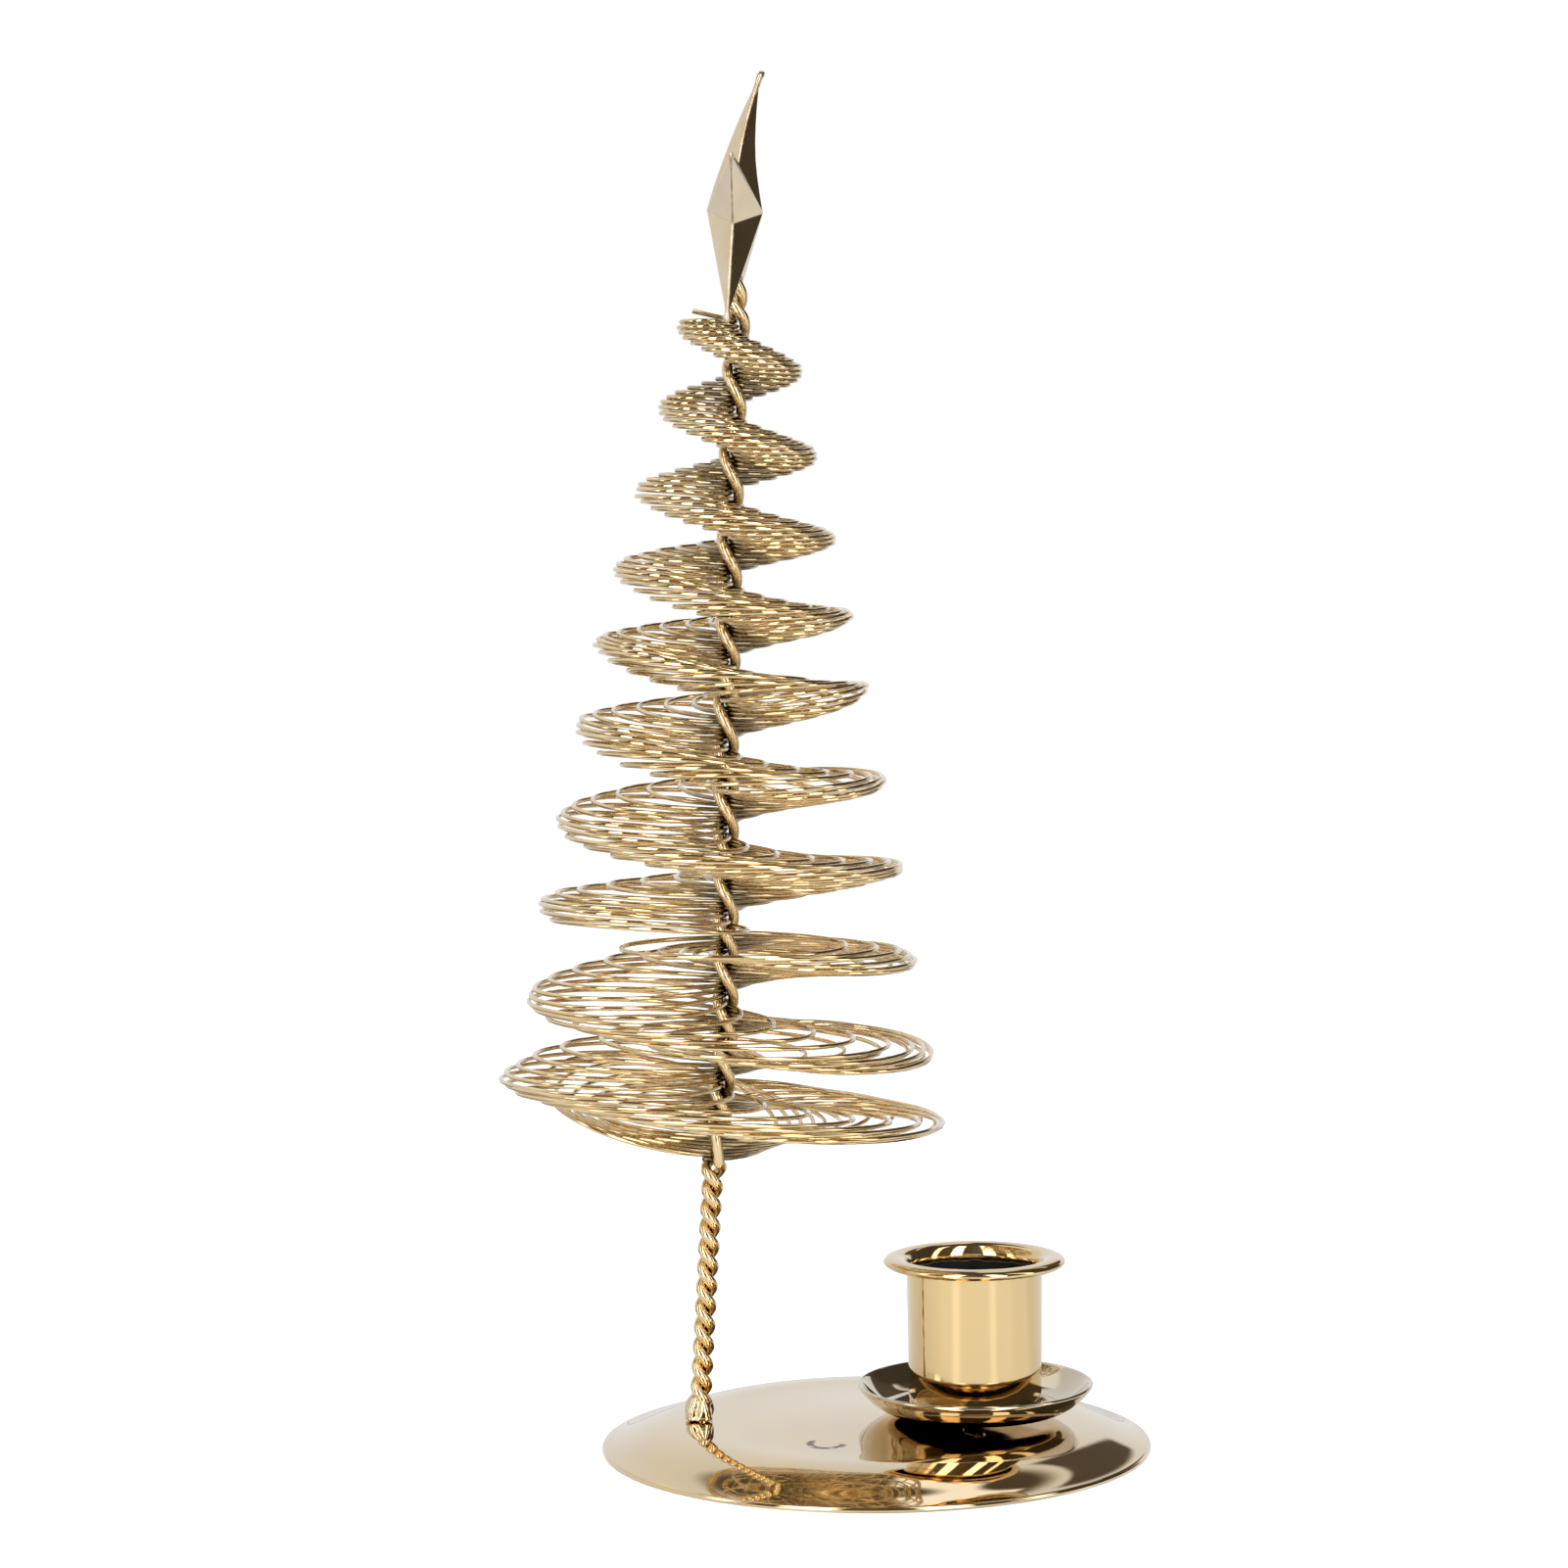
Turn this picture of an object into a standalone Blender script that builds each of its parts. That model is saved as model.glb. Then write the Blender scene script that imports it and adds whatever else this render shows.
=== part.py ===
"""A Christmas tree candle holder made of polished brass wire and sheet.

A shallow domed dish stands on its rim. A stem of two twisted wires is soldered to the dish and
runs up through the tree, and its two wires clamp a close-wound coil between them. The coil's
round loops fan out to one side of the stem, and the side they fan to winds round with the twist,
so they read as the tiers of a tree. A faceted five-pointed star is soldered on top. Beside the stem
a drip pan and a socket for a 22 mm taper candle are riveted to the dish.

Units are metres. +Z is up, +X points from the stem to the candle, and the origin is on the surface
the dish stands on, under the middle of the whole object's bounding box.
"""

import math
from dataclasses import dataclass

import bmesh
import bpy
import numpy as np
from mathutils import Matrix, Vector

MM = 0.001
SEAT = 0.3 * MM  # solder or rivet clearance between two pieces that touch

# The dish: a pressed disc whose dome is flat in the middle and steepens towards the rim.
DISH_RADIUS = 47.5 * MM
DISH_RISE = 4.95 * MM
DISH_POWER = 4.5
DISH_SHEET = 0.7 * MM
DISH_LAND = 1.4 * MM  # width of the flat ring under the rim

# Where the stem and the candle stand, from the middle of the dish along X.
STEM_X = -30.6 * MM
CANDLE_X = 17.3 * MM

# The spun drip pan.
PAN_RADIUS = 20.4 * MM
PAN_FLAT_RADIUS = 12.0 * MM
PAN_DEPTH = 5.0 * MM
PAN_POWER = 2.6
PAN_SHEET = 0.7 * MM

# The drawn socket with its rolled lip.
SOCKET_BORE = 22.5 * MM
SOCKET_SHEET = 0.5 * MM
SOCKET_HEIGHT = 26.1 * MM
SOCKET_CORNER = 1.6 * MM
SOCKET_DRAFT = 0.25 * MM
LIP_REACH = 3.95 * MM  # from the outside of the wall to the outside of the lip
LIP_HEIGHT = 1.9 * MM
LIP_MOUTH = 0.6 * MM  # how far the mouth is belled out of the bore

# The rivet that holds socket, pan and dish together.
RIVET_SHANK_RADIUS = 1.6 * MM
RIVET_HEAD_RADIUS = 3.4 * MM
RIVET_HEAD_HEIGHT = 1.1 * MM
RIVET_HEAD_FLAT = 2.2 * MM  # radius of the flat top that the candle stands on
RIVET_TAIL_RADIUS = 2.9 * MM
RIVET_TAIL_HEIGHT = 0.9 * MM

# The two wires of the stem, which part over CORE_SPREAD to let the coil in between them.
CORE_WIRE = 1.9 * MM
CORE_GAP = 0.3 * MM
CORE_SPREAD = 5.0 * MM
CORE_STEPS = 8  # points in a turn of the twist
BARE_STEM = 43.9 * MM  # from the dish to the coil's last crossing
BARE_PITCH = 6.8 * MM
CROWN = 8.4 * MM  # from the coil's first crossing to the top of the stem
CROWN_PITCH = 9.6 * MM

# The stem isn't quite straight: (share of its height, distance from its foot towards the candle).
STEM_SWAY = (
    (0.0, 0.0 * MM),
    (0.22, 2.9 * MM),
    (0.31, 4.7 * MM),
    (0.46, 5.7 * MM),
    (0.68, 6.4 * MM),
    (0.82, 7.4 * MM),
    (0.95, 8.7 * MM),
    (1.0, 8.2 * MM),
)

# The coil. The turns of the twist that clamps it are counted downwards.
COIL_WIRE = 0.95 * MM
TREE_PITCH = 14.2 * MM  # drop over the first turn
TREE_PITCH_GROWTH = 0.1 * MM  # how much longer each turn is than the one above
TREE_HEADING = 79.0  # degrees from +X to the fan's direction where the count of turns starts
CURLS_PER_TURN = 9
CURL_POINTS = 8
FREE_END_RISE = 0.35  # how steeply a free end rises, as a share of its reach

# The star on top.
STAR_RADIUS = 23.8 * MM
STAR_NOTCH = 0.382  # radius of the inner corners, as a share of a regular star's outer radius
STAR_DEPTH = 4.8 * MM  # height of each face's peak over the seam
STAR_LEAN = 3.8  # degrees towards the candle
STAR_BEND = 3.3 * MM  # how far the top point is bent towards the candle
STAR_OFFSET = 0.4 * MM  # how far its lower corner stands to the tree's side of the stem
STAR_STANDOFF = 1.4 * MM  # how far it stands over the stem's top

# Solder at the foot of the stem and under the star.
FOOT_SOLDER_RADIUS = 3.1 * MM
FOOT_SOLDER_HEIGHT = 4.4 * MM
FOOT_SOLDER_EDGE = 0.45 * MM  # wall at its upper edge
STAR_SOLDER_RADIUS = 3.2 * MM

BRASS = (0.80, 0.60, 0.30, 1.0)
PALE_BRASS = (0.84, 0.72, 0.50, 1.0)
SOLDER = (0.78, 0.66, 0.46, 1.0)


@dataclass(frozen=True)
class CoilLength:
    """One length of the coil. A pair of values is the value at its top and at its bottom."""

    name: str
    first_turn: float
    curls: int
    radius: tuple
    rise: tuple  # slope up and out along the fan
    side_slope: tuple  # slope towards the candle
    back_slope: tuple  # slope away from the front
    tail: float  # length past the last crossing, and before the first where no end is free
    free_end: float = 0.0  # length of the straight end over the first curl

    @property
    def last_turn(self):
        return self.first_turn + self.curls / CURLS_PER_TURN

    def at(self, pair, turn):
        """Value between the pair's two at a turn."""
        share = (turn - self.first_turn) / (self.last_turn - self.first_turn)
        return pair[0] + (pair[1] - pair[0]) * min(max(share, 0.0), 1.0)


UPPER_COIL = CoilLength(
    name="branch_coil_upper",
    first_turn=0.22,
    curls=65,
    radius=(4.5 * MM, 16.0 * MM),
    rise=(0.02, 0.08),
    side_slope=(-0.05, -0.015),
    back_slope=(0.03, 0.03),
    tail=8.0 * MM,
    free_end=6.0 * MM,
)
LOWER_COIL = CoilLength(
    name="branch_coil_lower",
    first_turn=UPPER_COIL.last_turn + 1.0 / CURLS_PER_TURN,
    curls=23,
    radius=(16.2 * MM, 20.15 * MM),
    rise=(0.05, 0.11),
    side_slope=(-0.02, -0.045),
    back_slope=(0.04, 0.04),
    tail=3.0 * MM,
)


def clear_scene():
    for obj in list(bpy.data.objects):
        bpy.data.objects.remove(obj, do_unlink=True)


def new_collection(name, hidden=False):
    collection = bpy.data.collections.new(name)
    bpy.context.scene.collection.children.link(collection)
    collection.hide_render = hidden
    return collection


def brass_material(name, colour, roughness):
    material = bpy.data.materials.new(name)
    material.use_nodes = True
    shader = material.node_tree.nodes["Principled BSDF"]
    shader.inputs["Base Color"].default_value = colour
    shader.inputs["Metallic"].default_value = 1.0
    shader.inputs["Roughness"].default_value = roughness
    return material


def add_object(name, data, collection, material=None, location=(0.0, 0.0, 0.0)):
    obj = bpy.data.objects.new(name, data)
    collection.objects.link(obj)
    obj.location = location
    if material is not None:
        data.materials.append(material)
    return obj


def hide_cutter(obj):
    obj.hide_render = True
    obj.display_type = "WIRE"


def turned(name, profile, steps, collection, material=None, location=(0.0, 0.0, 0.0)):
    """A piece turned about Z from (radius, height) points that run down its outer side."""
    mesh = bpy.data.meshes.new(name)
    points = [(radius, 0.0, height) for radius, height in profile]
    edges = [(i, i + 1) for i in range(len(points) - 1)]
    mesh.from_pydata(points, edges, [])
    obj = add_object(name, mesh, collection, material, location)
    screw = obj.modifiers.new("turn", "SCREW")
    screw.steps = steps
    screw.render_steps = steps
    screw.use_merge_vertices = True
    screw.merge_threshold = 0.00001
    screw.use_smooth_shade = True
    return obj


def sheet_piece(name, path, sheet, steps, collection, material, location):
    """A spun or drawn sheet: the middle of its thickness turned about Z, then given its wall."""
    obj = turned(name, path, steps, collection, material, location)
    wall = obj.modifiers.new("sheet", "SOLIDIFY")
    wall.thickness = sheet
    wall.offset = 0.0
    wall.use_even_offset = True
    return obj


def cut(obj, cutter):
    boolean = obj.modifiers.new("cut " + cutter.name, "BOOLEAN")
    boolean.operation = "DIFFERENCE"
    boolean.solver = "EXACT"
    boolean.object = cutter


def cylinder_cutter(name, radius, bottom, top, centre_x, collection):
    mesh = bpy.data.meshes.new(name)
    build = bmesh.new()
    bmesh.ops.create_cone(
        build,
        cap_ends=True,
        segments=32,
        radius1=radius,
        radius2=radius,
        depth=top - bottom,
    )
    build.to_mesh(mesh)
    build.free()
    obj = add_object(name, mesh, collection, location=(centre_x, 0.0, (top + bottom) / 2))
    hide_cutter(obj)
    return obj


def wire_object(name, points, diameter, collection, material):
    """A round wire along a polyline, with its two ends capped."""
    curve = bpy.data.curves.new(name, "CURVE")
    curve.dimensions = "3D"
    curve.bevel_depth = diameter / 2
    curve.bevel_resolution = 1
    curve.use_fill_caps = True
    spline = curve.splines.new("POLY")
    spline.points.add(len(points) - 1)
    for slot, point in zip(spline.points, points):
        slot.co = (*point, 1.0)
    return add_object(name, curve, collection, material)


def dish_top(radius):
    """Height of the dish's upper surface at a distance from its middle."""
    share = min(abs(radius) / DISH_RADIUS, 1.0)
    return DISH_SHEET + DISH_RISE * (1.0 - share**DISH_POWER)


def dish_profile():
    """The dish's section: the dome down to the rim, the flat land, and the underside back up."""
    top = [(DISH_RADIUS * share, dish_top(DISH_RADIUS * share)) for share in rim_spaced(10)]
    inner = DISH_RADIUS - DISH_LAND
    under = [(inner * share, dish_top(inner * share) - DISH_SHEET) for share in reversed(rim_spaced(7))]
    land = [(DISH_RADIUS, 0.0), (inner, 0.0)]
    return top + land + under


def rim_spaced(count):
    """Shares from 0 to 1 that lie closer together towards 1, where the dome bends most."""
    return [math.sin(math.pi / 2 * i / (count - 1)) ** 0.8 for i in range(count)]


def make_dish(parts, cutters, material):
    dish = turned("base_dish", dish_profile(), 56, parts, material)
    hole = cylinder_cutter(
        "rivet_hole", RIVET_SHANK_RADIUS + SEAT, 0.0, 2 * dish_top(0.0), CANDLE_X, cutters
    )
    cut(dish, hole)
    return dish


def pan_underside():
    """Height of the pan's flat underside, seated on the highest part of the dome below it."""
    return dish_top(CANDLE_X - PAN_FLAT_RADIUS) + SEAT


def make_pan(parts, material):
    """A saucer: a flat floor round the rivet, and a wall that curls up to the rim."""
    middle = PAN_SHEET / 2
    hole = RIVET_SHANK_RADIUS + SEAT
    path = [(hole, middle), (PAN_FLAT_RADIUS, middle)]
    for i in range(1, 7):
        share = i / 6
        radius = PAN_FLAT_RADIUS + (PAN_RADIUS - middle - PAN_FLAT_RADIUS) * share
        path.append((radius, middle + (PAN_DEPTH - PAN_SHEET) * share**PAN_POWER))
    location = (CANDLE_X, 0.0, pan_underside())
    return sheet_piece("drip_pan", path[::-1], PAN_SHEET, 44, parts, material, location)


def socket_underside():
    return pan_underside() + PAN_SHEET + SEAT


def socket_path():
    """Middle of the socket's sheet, from the rivet hole out, up the wall and round the lip."""
    half = SOCKET_SHEET / 2
    wall = SOCKET_BORE / 2 + half
    foot = wall - SOCKET_DRAFT
    path = [(RIVET_SHANK_RADIUS + SEAT, half)]
    for i in range(4):
        angle = math.pi / 2 * i / 3
        path.append(
            (
                foot - SOCKET_CORNER + SOCKET_CORNER * math.sin(angle),
                half + SOCKET_CORNER * (1.0 - math.cos(angle)),
            )
        )
    lip_half_height = LIP_HEIGHT / 2 - half
    lip_middle = SOCKET_HEIGHT - LIP_HEIGHT / 2
    lip_outside = wall + LIP_REACH
    lip_inside = wall + LIP_MOUTH
    lip_half_width = (lip_outside - lip_inside) / 2
    lip_centre = lip_inside + lip_half_width
    path.append((wall, lip_middle - LIP_HEIGHT))
    path.append((wall + 0.25 * LIP_MOUTH, lip_middle - 0.3 * LIP_HEIGHT))
    for degrees in range(150, -91, -30):
        angle = math.radians(degrees)
        path.append(
            (
                lip_centre + lip_half_width * math.cos(angle),
                lip_middle + lip_half_height * math.sin(angle),
            )
        )
    return path


def make_socket(parts, material):
    location = (CANDLE_X, 0.0, socket_underside())
    return sheet_piece(
        "candle_socket", socket_path()[::-1], SOCKET_SHEET, 36, parts, material, location
    )


def domed_end(radius, height, level, flat=0.0):
    """A rivet's head over a level, or its tail under it: flat from the axis out, then an ellipse."""
    profile = [(0.0, level + height)] if flat else []
    for degrees in (90, 60, 30, 0):
        angle = math.radians(degrees)
        reach = flat + (radius - flat) * math.cos(angle)
        profile.append((reach, level + height * math.sin(angle)))
    return profile


def make_rivet(parts, material):
    """Head on the socket's floor, shank down through the pan, and tail set under the dish."""
    head_bottom = socket_underside() + SOCKET_SHEET + SEAT
    tail_top = dish_top(CANDLE_X + RIVET_TAIL_RADIUS) - DISH_SHEET - SEAT
    head = domed_end(RIVET_HEAD_RADIUS, RIVET_HEAD_HEIGHT, head_bottom, RIVET_HEAD_FLAT)
    tail = domed_end(RIVET_TAIL_RADIUS, -RIVET_TAIL_HEIGHT, tail_top)
    shank = [(RIVET_SHANK_RADIUS, head_bottom), (RIVET_SHANK_RADIUS, tail_top)]
    profile = [*head, *shank, *tail[::-1]]
    return turned("socket_rivet", profile, 24, parts, material, (CANDLE_X, 0.0, 0.0))


def stem_foot():
    """Height of the dish where the stem stands."""
    return dish_top(STEM_X)


def core_bottom():
    return stem_foot() + SEAT


def core_top():
    return turn_height(UPPER_COIL.first_turn) + CROWN


def stem_x(height):
    """Place of the stem's axis along X at a height, on a smooth curve through its sway."""
    whole = core_top() - stem_foot()
    heights = [stem_foot() + share * whole for share, _ in STEM_SWAY]
    places = [STEM_X + aside for _, aside in STEM_SWAY]
    slopes = np.gradient(places, heights)
    height = min(max(height, heights[0]), heights[-1])
    i = int(np.clip(np.searchsorted(heights, height) - 1, 0, len(heights) - 2))
    span = heights[i + 1] - heights[i]
    t = (height - heights[i]) / span
    return (
        (2 * t**3 - 3 * t**2 + 1) * places[i]
        + (t**3 - 2 * t**2 + t) * span * slopes[i]
        + (3 * t**2 - 2 * t**3) * places[i + 1]
        + (t**3 - t**2) * span * slopes[i + 1]
    )


def turn_drop(turn):
    """How far the twist has come down after so many turns."""
    return TREE_PITCH * turn + TREE_PITCH_GROWTH / 2 * turn**2


def turn_height(turn):
    """Height where the coil's wire crosses the stem after so many turns."""
    return stem_foot() + BARE_STEM + turn_drop(LOWER_COIL.last_turn) - turn_drop(turn)


def turn_at(height):
    """Turns of the twist down to a height: turn_height solved for the turn."""
    drop = turn_height(0.0) - height
    root = math.sqrt(TREE_PITCH**2 + 2 * TREE_PITCH_GROWTH * drop)
    return 2 * drop / (TREE_PITCH + root)


def twist_heading(turn):
    """Direction of the fan, which is the side of the inner wire, in radians from +X."""
    return math.radians(TREE_HEADING) + 2 * math.pi * turn


def clamped_span():
    """Lowest and highest place where the twist has the coil's pace: one curl past each end."""
    past = 1.0 / CURLS_PER_TURN
    return turn_height(LOWER_COIL.last_turn + past), turn_height(UPPER_COIL.first_turn - past)


def core_pitch(height):
    low, high = clamped_span()
    if height < low:
        return BARE_PITCH
    return CROWN_PITCH if height > high else TREE_PITCH


def core_heading(height):
    """Direction of the inner wire from the stem's axis, in radians from +X."""
    low, high = clamped_span()
    held = min(max(height, low), high)
    return twist_heading(turn_at(held)) + 2 * math.pi * (held - height) / core_pitch(height)


def core_radius(height):
    """Distance of each wire's middle from the stem's axis: wider where the coil is clamped."""
    bare = (CORE_WIRE + CORE_GAP) / 2
    clamped = (CORE_WIRE + COIL_WIRE) / 2 / math.cos(math.pi / CURL_POINTS) + SEAT
    low, high = clamped_span()
    share = min(max(height - high, low - height, 0.0) / CORE_SPREAD, 1.0)
    return clamped + (bare - clamped) * share * share * (3.0 - 2.0 * share)


def core_points(half_turn):
    """Centre line of one of the stem's two wires, whose ends stand upright."""
    low, high = core_bottom() + CORE_WIRE / 2, core_top() - CORE_WIRE / 2
    heights = [low]
    while heights[-1] < high:
        heights.append(heights[-1] + core_pitch(heights[-1]) / CORE_STEPS)
    points = []
    for height in [core_bottom(), *heights[:-1], high, core_top()]:
        held = min(max(height, low), high)
        heading = core_heading(held) + half_turn
        radius = core_radius(held)
        x = stem_x(held) + radius * math.cos(heading)
        points.append((x, radius * math.sin(heading), height))
    return points


def curl_point(coil, curl):
    """Point of a coil's centre line after so many curls, counted from its first crossing.

    Each curl is a circle that leaves the stem square to the fan's direction and comes back to it.
    """
    turn = coil.first_turn + curl / CURLS_PER_TURN
    heading = twist_heading(turn)
    radius = coil.at(coil.radius, turn)
    angle = 2 * math.pi * curl
    out = radius * (1.0 - math.cos(angle))
    along = radius * math.sin(angle)
    x = out * math.cos(heading) - along * math.sin(heading)
    y = out * math.sin(heading) + along * math.cos(heading)
    crossing = turn_height(turn)
    z = crossing + out * coil.at(coil.rise, turn)
    z += x * coil.at(coil.side_slope, turn) + y * coil.at(coil.back_slope, turn)
    return Vector((stem_x(crossing) + x, y, z))


def coil_points(coil):
    """Centre line of one length of the coil: its upper end, its curls and its lower tail.

    A free upper end runs out straight from a quarter curl before the first crossing.
    """
    lead = CURL_POINTS // 4 if coil.free_end else 1
    first = curl_point(coil, -lead / CURL_POINTS)
    points = [curl_point(coil, i / CURL_POINTS) for i in range(1 - lead, coil.curls * CURL_POINTS + 1)]
    if coil.free_end:
        away = first - points[0]
        away.z = FREE_END_RISE * away.length
        upper = [first + away.normalized() * coil.free_end, first]
    else:
        upper = [points[0] + (first - points[0]).normalized() * coil.tail]
    past = curl_point(coil, coil.curls + 1 / CURL_POINTS)
    lower = points[-1] + (past - points[-1]).normalized() * coil.tail
    return [*upper, *points, lower]


def least_gap(points, diameter):
    """Least clear distance between parts of one wire that don't follow on from each other."""
    array = np.array([tuple(point) for point in points])
    fine = np.concatenate(
        [array[:-1] + (array[1:] - array[:-1]) * share for share in (0.0, 0.25, 0.5, 0.75)]
    )
    place = np.concatenate([np.arange(len(array) - 1) + share for share in (0.0, 0.25, 0.5, 0.75)])
    least = math.inf
    for point, along in zip(fine, place):
        apart = np.abs(place - along) > CURL_POINTS / 2
        distance = np.sqrt(((fine[apart] - point) ** 2).sum(axis=1)).min()
        least = min(least, distance)
    return least - diameter


def make_coil(coil, parts, material):
    points = coil_points(coil)
    gap = least_gap(points, COIL_WIRE)
    print(f"{coil.name}: {len(points) / CURL_POINTS:.1f} curls, least gap {gap / MM:.2f} mm")
    return wire_object(coil.name, points, COIL_WIRE, parts, material)


def star_notch():
    """The star's lower inner corner, over the top of the stem and a little to the tree's side."""
    height = core_top() + STAR_STANDOFF
    return Vector((stem_x(core_top()) - STAR_OFFSET, 0.0, height))


def star_centre():
    lean = Matrix.Rotation(math.radians(STAR_LEAN), 4, "Y")
    return star_notch() + lean @ Vector((0.0, 0.0, STAR_NOTCH * STAR_RADIUS))


def star_mesh(name, sides, grow=1.0):
    """The star's two faces, or one of them with a flat back: ten-sided cones with drawn-in corners.

    The peaks lie along X, one point is straight up, and that point is bent towards the candle.
    """
    depth = STAR_DEPTH * grow
    build = bmesh.new()
    for side in sides:
        cone = bmesh.ops.create_cone(
            build,
            cap_ends=len(sides) == 1,
            segments=10,
            radius1=STAR_RADIUS * grow,
            radius2=0.0,
            depth=depth,
        )
        corners = [vert for vert in cone["verts"] if vert.co.z < 0.0]
        corners.sort(key=lambda vert: math.atan2(vert.co.y, vert.co.x))
        upper = max(range(10), key=lambda i: corners[i].co.y)
        for i, vert in enumerate(corners):
            if (i - upper) % 2:
                vert.co.x *= STAR_NOTCH
                vert.co.y *= STAR_NOTCH
        for vert in cone["verts"]:
            across, up, off = vert.co.x, vert.co.y, vert.co.z + depth / 2
            vert.co = Vector((side * off, side * across, up))
    bmesh.ops.remove_doubles(build, verts=build.verts[:], dist=0.01 * MM)
    tip = max(build.verts, key=lambda vert: vert.co.z)
    tip.co.x += STAR_BEND * grow
    mesh = bpy.data.meshes.new(name)
    build.to_mesh(mesh)
    build.free()
    return mesh


def place_star(obj, aside=0.0):
    lean = Matrix.Rotation(math.radians(STAR_LEAN), 4, "Y")
    obj.rotation_euler = lean.to_euler()
    obj.location = star_centre() + lean @ Vector((aside, 0.0, 0.0))


def make_star(parts, material):
    for side, name in ((1, "star_half_candle_side"), (-1, "star_half_tree_side")):
        half = add_object(name, star_mesh(name, (side,)), parts, material)
        place_star(half, side * SEAT / 2)


def make_foot_solder(parts, cutters, material):
    """A collar of solder round the foot of the stem, shaped to the dome it sits on."""
    bore = CORE_WIRE + CORE_GAP / 2 + SEAT
    flare = FOOT_SOLDER_RADIUS - bore - FOOT_SOLDER_EDGE
    bottom = stem_foot() - FOOT_SOLDER_HEIGHT / 2
    outside = []
    for share in (1.0, 0.8, 0.6, 0.4, 0.2, 0.0):
        outside.append((FOOT_SOLDER_RADIUS - flare * share**2, stem_foot() + FOOT_SOLDER_HEIGHT * share))
    top = outside[0][1]
    profile = [(bore, top), *outside, (FOOT_SOLDER_RADIUS, bottom), (bore, bottom), (bore, top)]
    collar = turned("foot_solder", profile, 24, parts, material, (STEM_X, 0.0, 0.0))
    dome = [(radius, dish_top(radius) + SEAT) for radius in np.linspace(0.0, DISH_RADIUS, 14)]
    cutter = turned("dome_seat", [*dome, (DISH_RADIUS, -DISH_RISE), (0.0, -DISH_RISE)], 56, cutters)
    hide_cutter(cutter)
    cut(collar, cutter)
    return collar


def make_star_solder(parts, cutters, material):
    """A bead of solder that cups the top of the stem and the star's lower inner corner."""
    mesh = bpy.data.meshes.new("star_solder")
    build = bmesh.new()
    bmesh.ops.create_uvsphere(build, u_segments=20, v_segments=12, radius=STAR_SOLDER_RADIUS)
    build.to_mesh(mesh)
    build.free()
    mesh.shade_smooth()
    notch = star_notch()
    bead = add_object("star_solder", mesh, parts, material)
    bead.location = notch - Vector((0.0, 0.0, 2 * SEAT))
    grow = 1.0 + SEAT / STAR_DEPTH / math.cos(math.atan(STAR_DEPTH / STAR_RADIUS))
    seat = add_object("star_seat", star_mesh("star_seat", (1, -1), grow), cutters)
    place_star(seat)
    hide_cutter(seat)
    bore = cylinder_cutter(
        "core_seat",
        CORE_WIRE + CORE_GAP / 2 + SEAT,
        notch.z - 2 * STAR_SOLDER_RADIUS,
        core_top() + SEAT,
        stem_x(core_top()),
        cutters,
    )
    cut(bead, seat)
    cut(bead, bore)
    return bead


def centre_on_origin(collection, cutters):
    """Hangs every piece on one empty and moves it so the bounding box is centred over the origin."""
    bpy.context.view_layer.update()
    graph = bpy.context.evaluated_depsgraph_get()
    places = []
    for obj in collection.objects:
        evaluated = obj.evaluated_get(graph)
        places.extend((evaluated.matrix_world @ vert.co).x for vert in evaluated.to_mesh().vertices)
        evaluated.to_mesh_clear()
    low, high = min(places), max(places)
    anchor = bpy.data.objects.new("holder_origin", None)
    bpy.context.scene.collection.objects.link(anchor)
    for obj in [*collection.objects, *cutters.objects]:
        obj.parent = anchor
    anchor.location.x = -(low + high) / 2
    print(f"middle of the dish at x = {anchor.location.x / MM:.2f} mm")


def main():
    clear_scene()
    parts = new_collection("wire_tree_candle_holder")
    cutters = new_collection("cutters", hidden=True)
    sheet = brass_material("polished_brass_sheet", BRASS, 0.08)
    wire = brass_material("bright_brass_wire", BRASS, 0.15)
    star = brass_material("pale_brass", PALE_BRASS, 0.2)
    solder = brass_material("brass_plated_solder", SOLDER, 0.25)

    make_dish(parts, cutters, sheet)
    make_pan(parts, sheet.copy())
    make_socket(parts, sheet.copy())
    make_rivet(parts, sheet.copy())
    make_foot_solder(parts, cutters, solder)
    for name, half_turn in (("core_wire_inner", 0.0), ("core_wire_outer", math.pi)):
        wire_object(name, core_points(half_turn), CORE_WIRE, parts, wire.copy())
    make_coil(UPPER_COIL, parts, wire.copy())
    make_coil(LOWER_COIL, parts, wire.copy())
    make_star_solder(parts, cutters, solder.copy())
    make_star(parts, star)
    centre_on_origin(parts, cutters)


main()
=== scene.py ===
"""Dresses the wire tree candle holder: polished brass sheet, coiled wire and a faceted star.

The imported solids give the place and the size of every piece. Each piece is built again here with
its full detail: the close-wound coil with all its loops, the spun sheet with its rolled lip, and
the soldered star. Lengths are in millimetres from the middle of the dish, and become metres in the
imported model's frame when a mesh is made. Materials and the studio are in metres and degrees.
"""

from __future__ import annotations

import logging
import math
from dataclasses import dataclass
from enum import Enum
from typing import Sequence

import bmesh
import bpy
import numpy as np
from mathutils import Matrix, Vector

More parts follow.
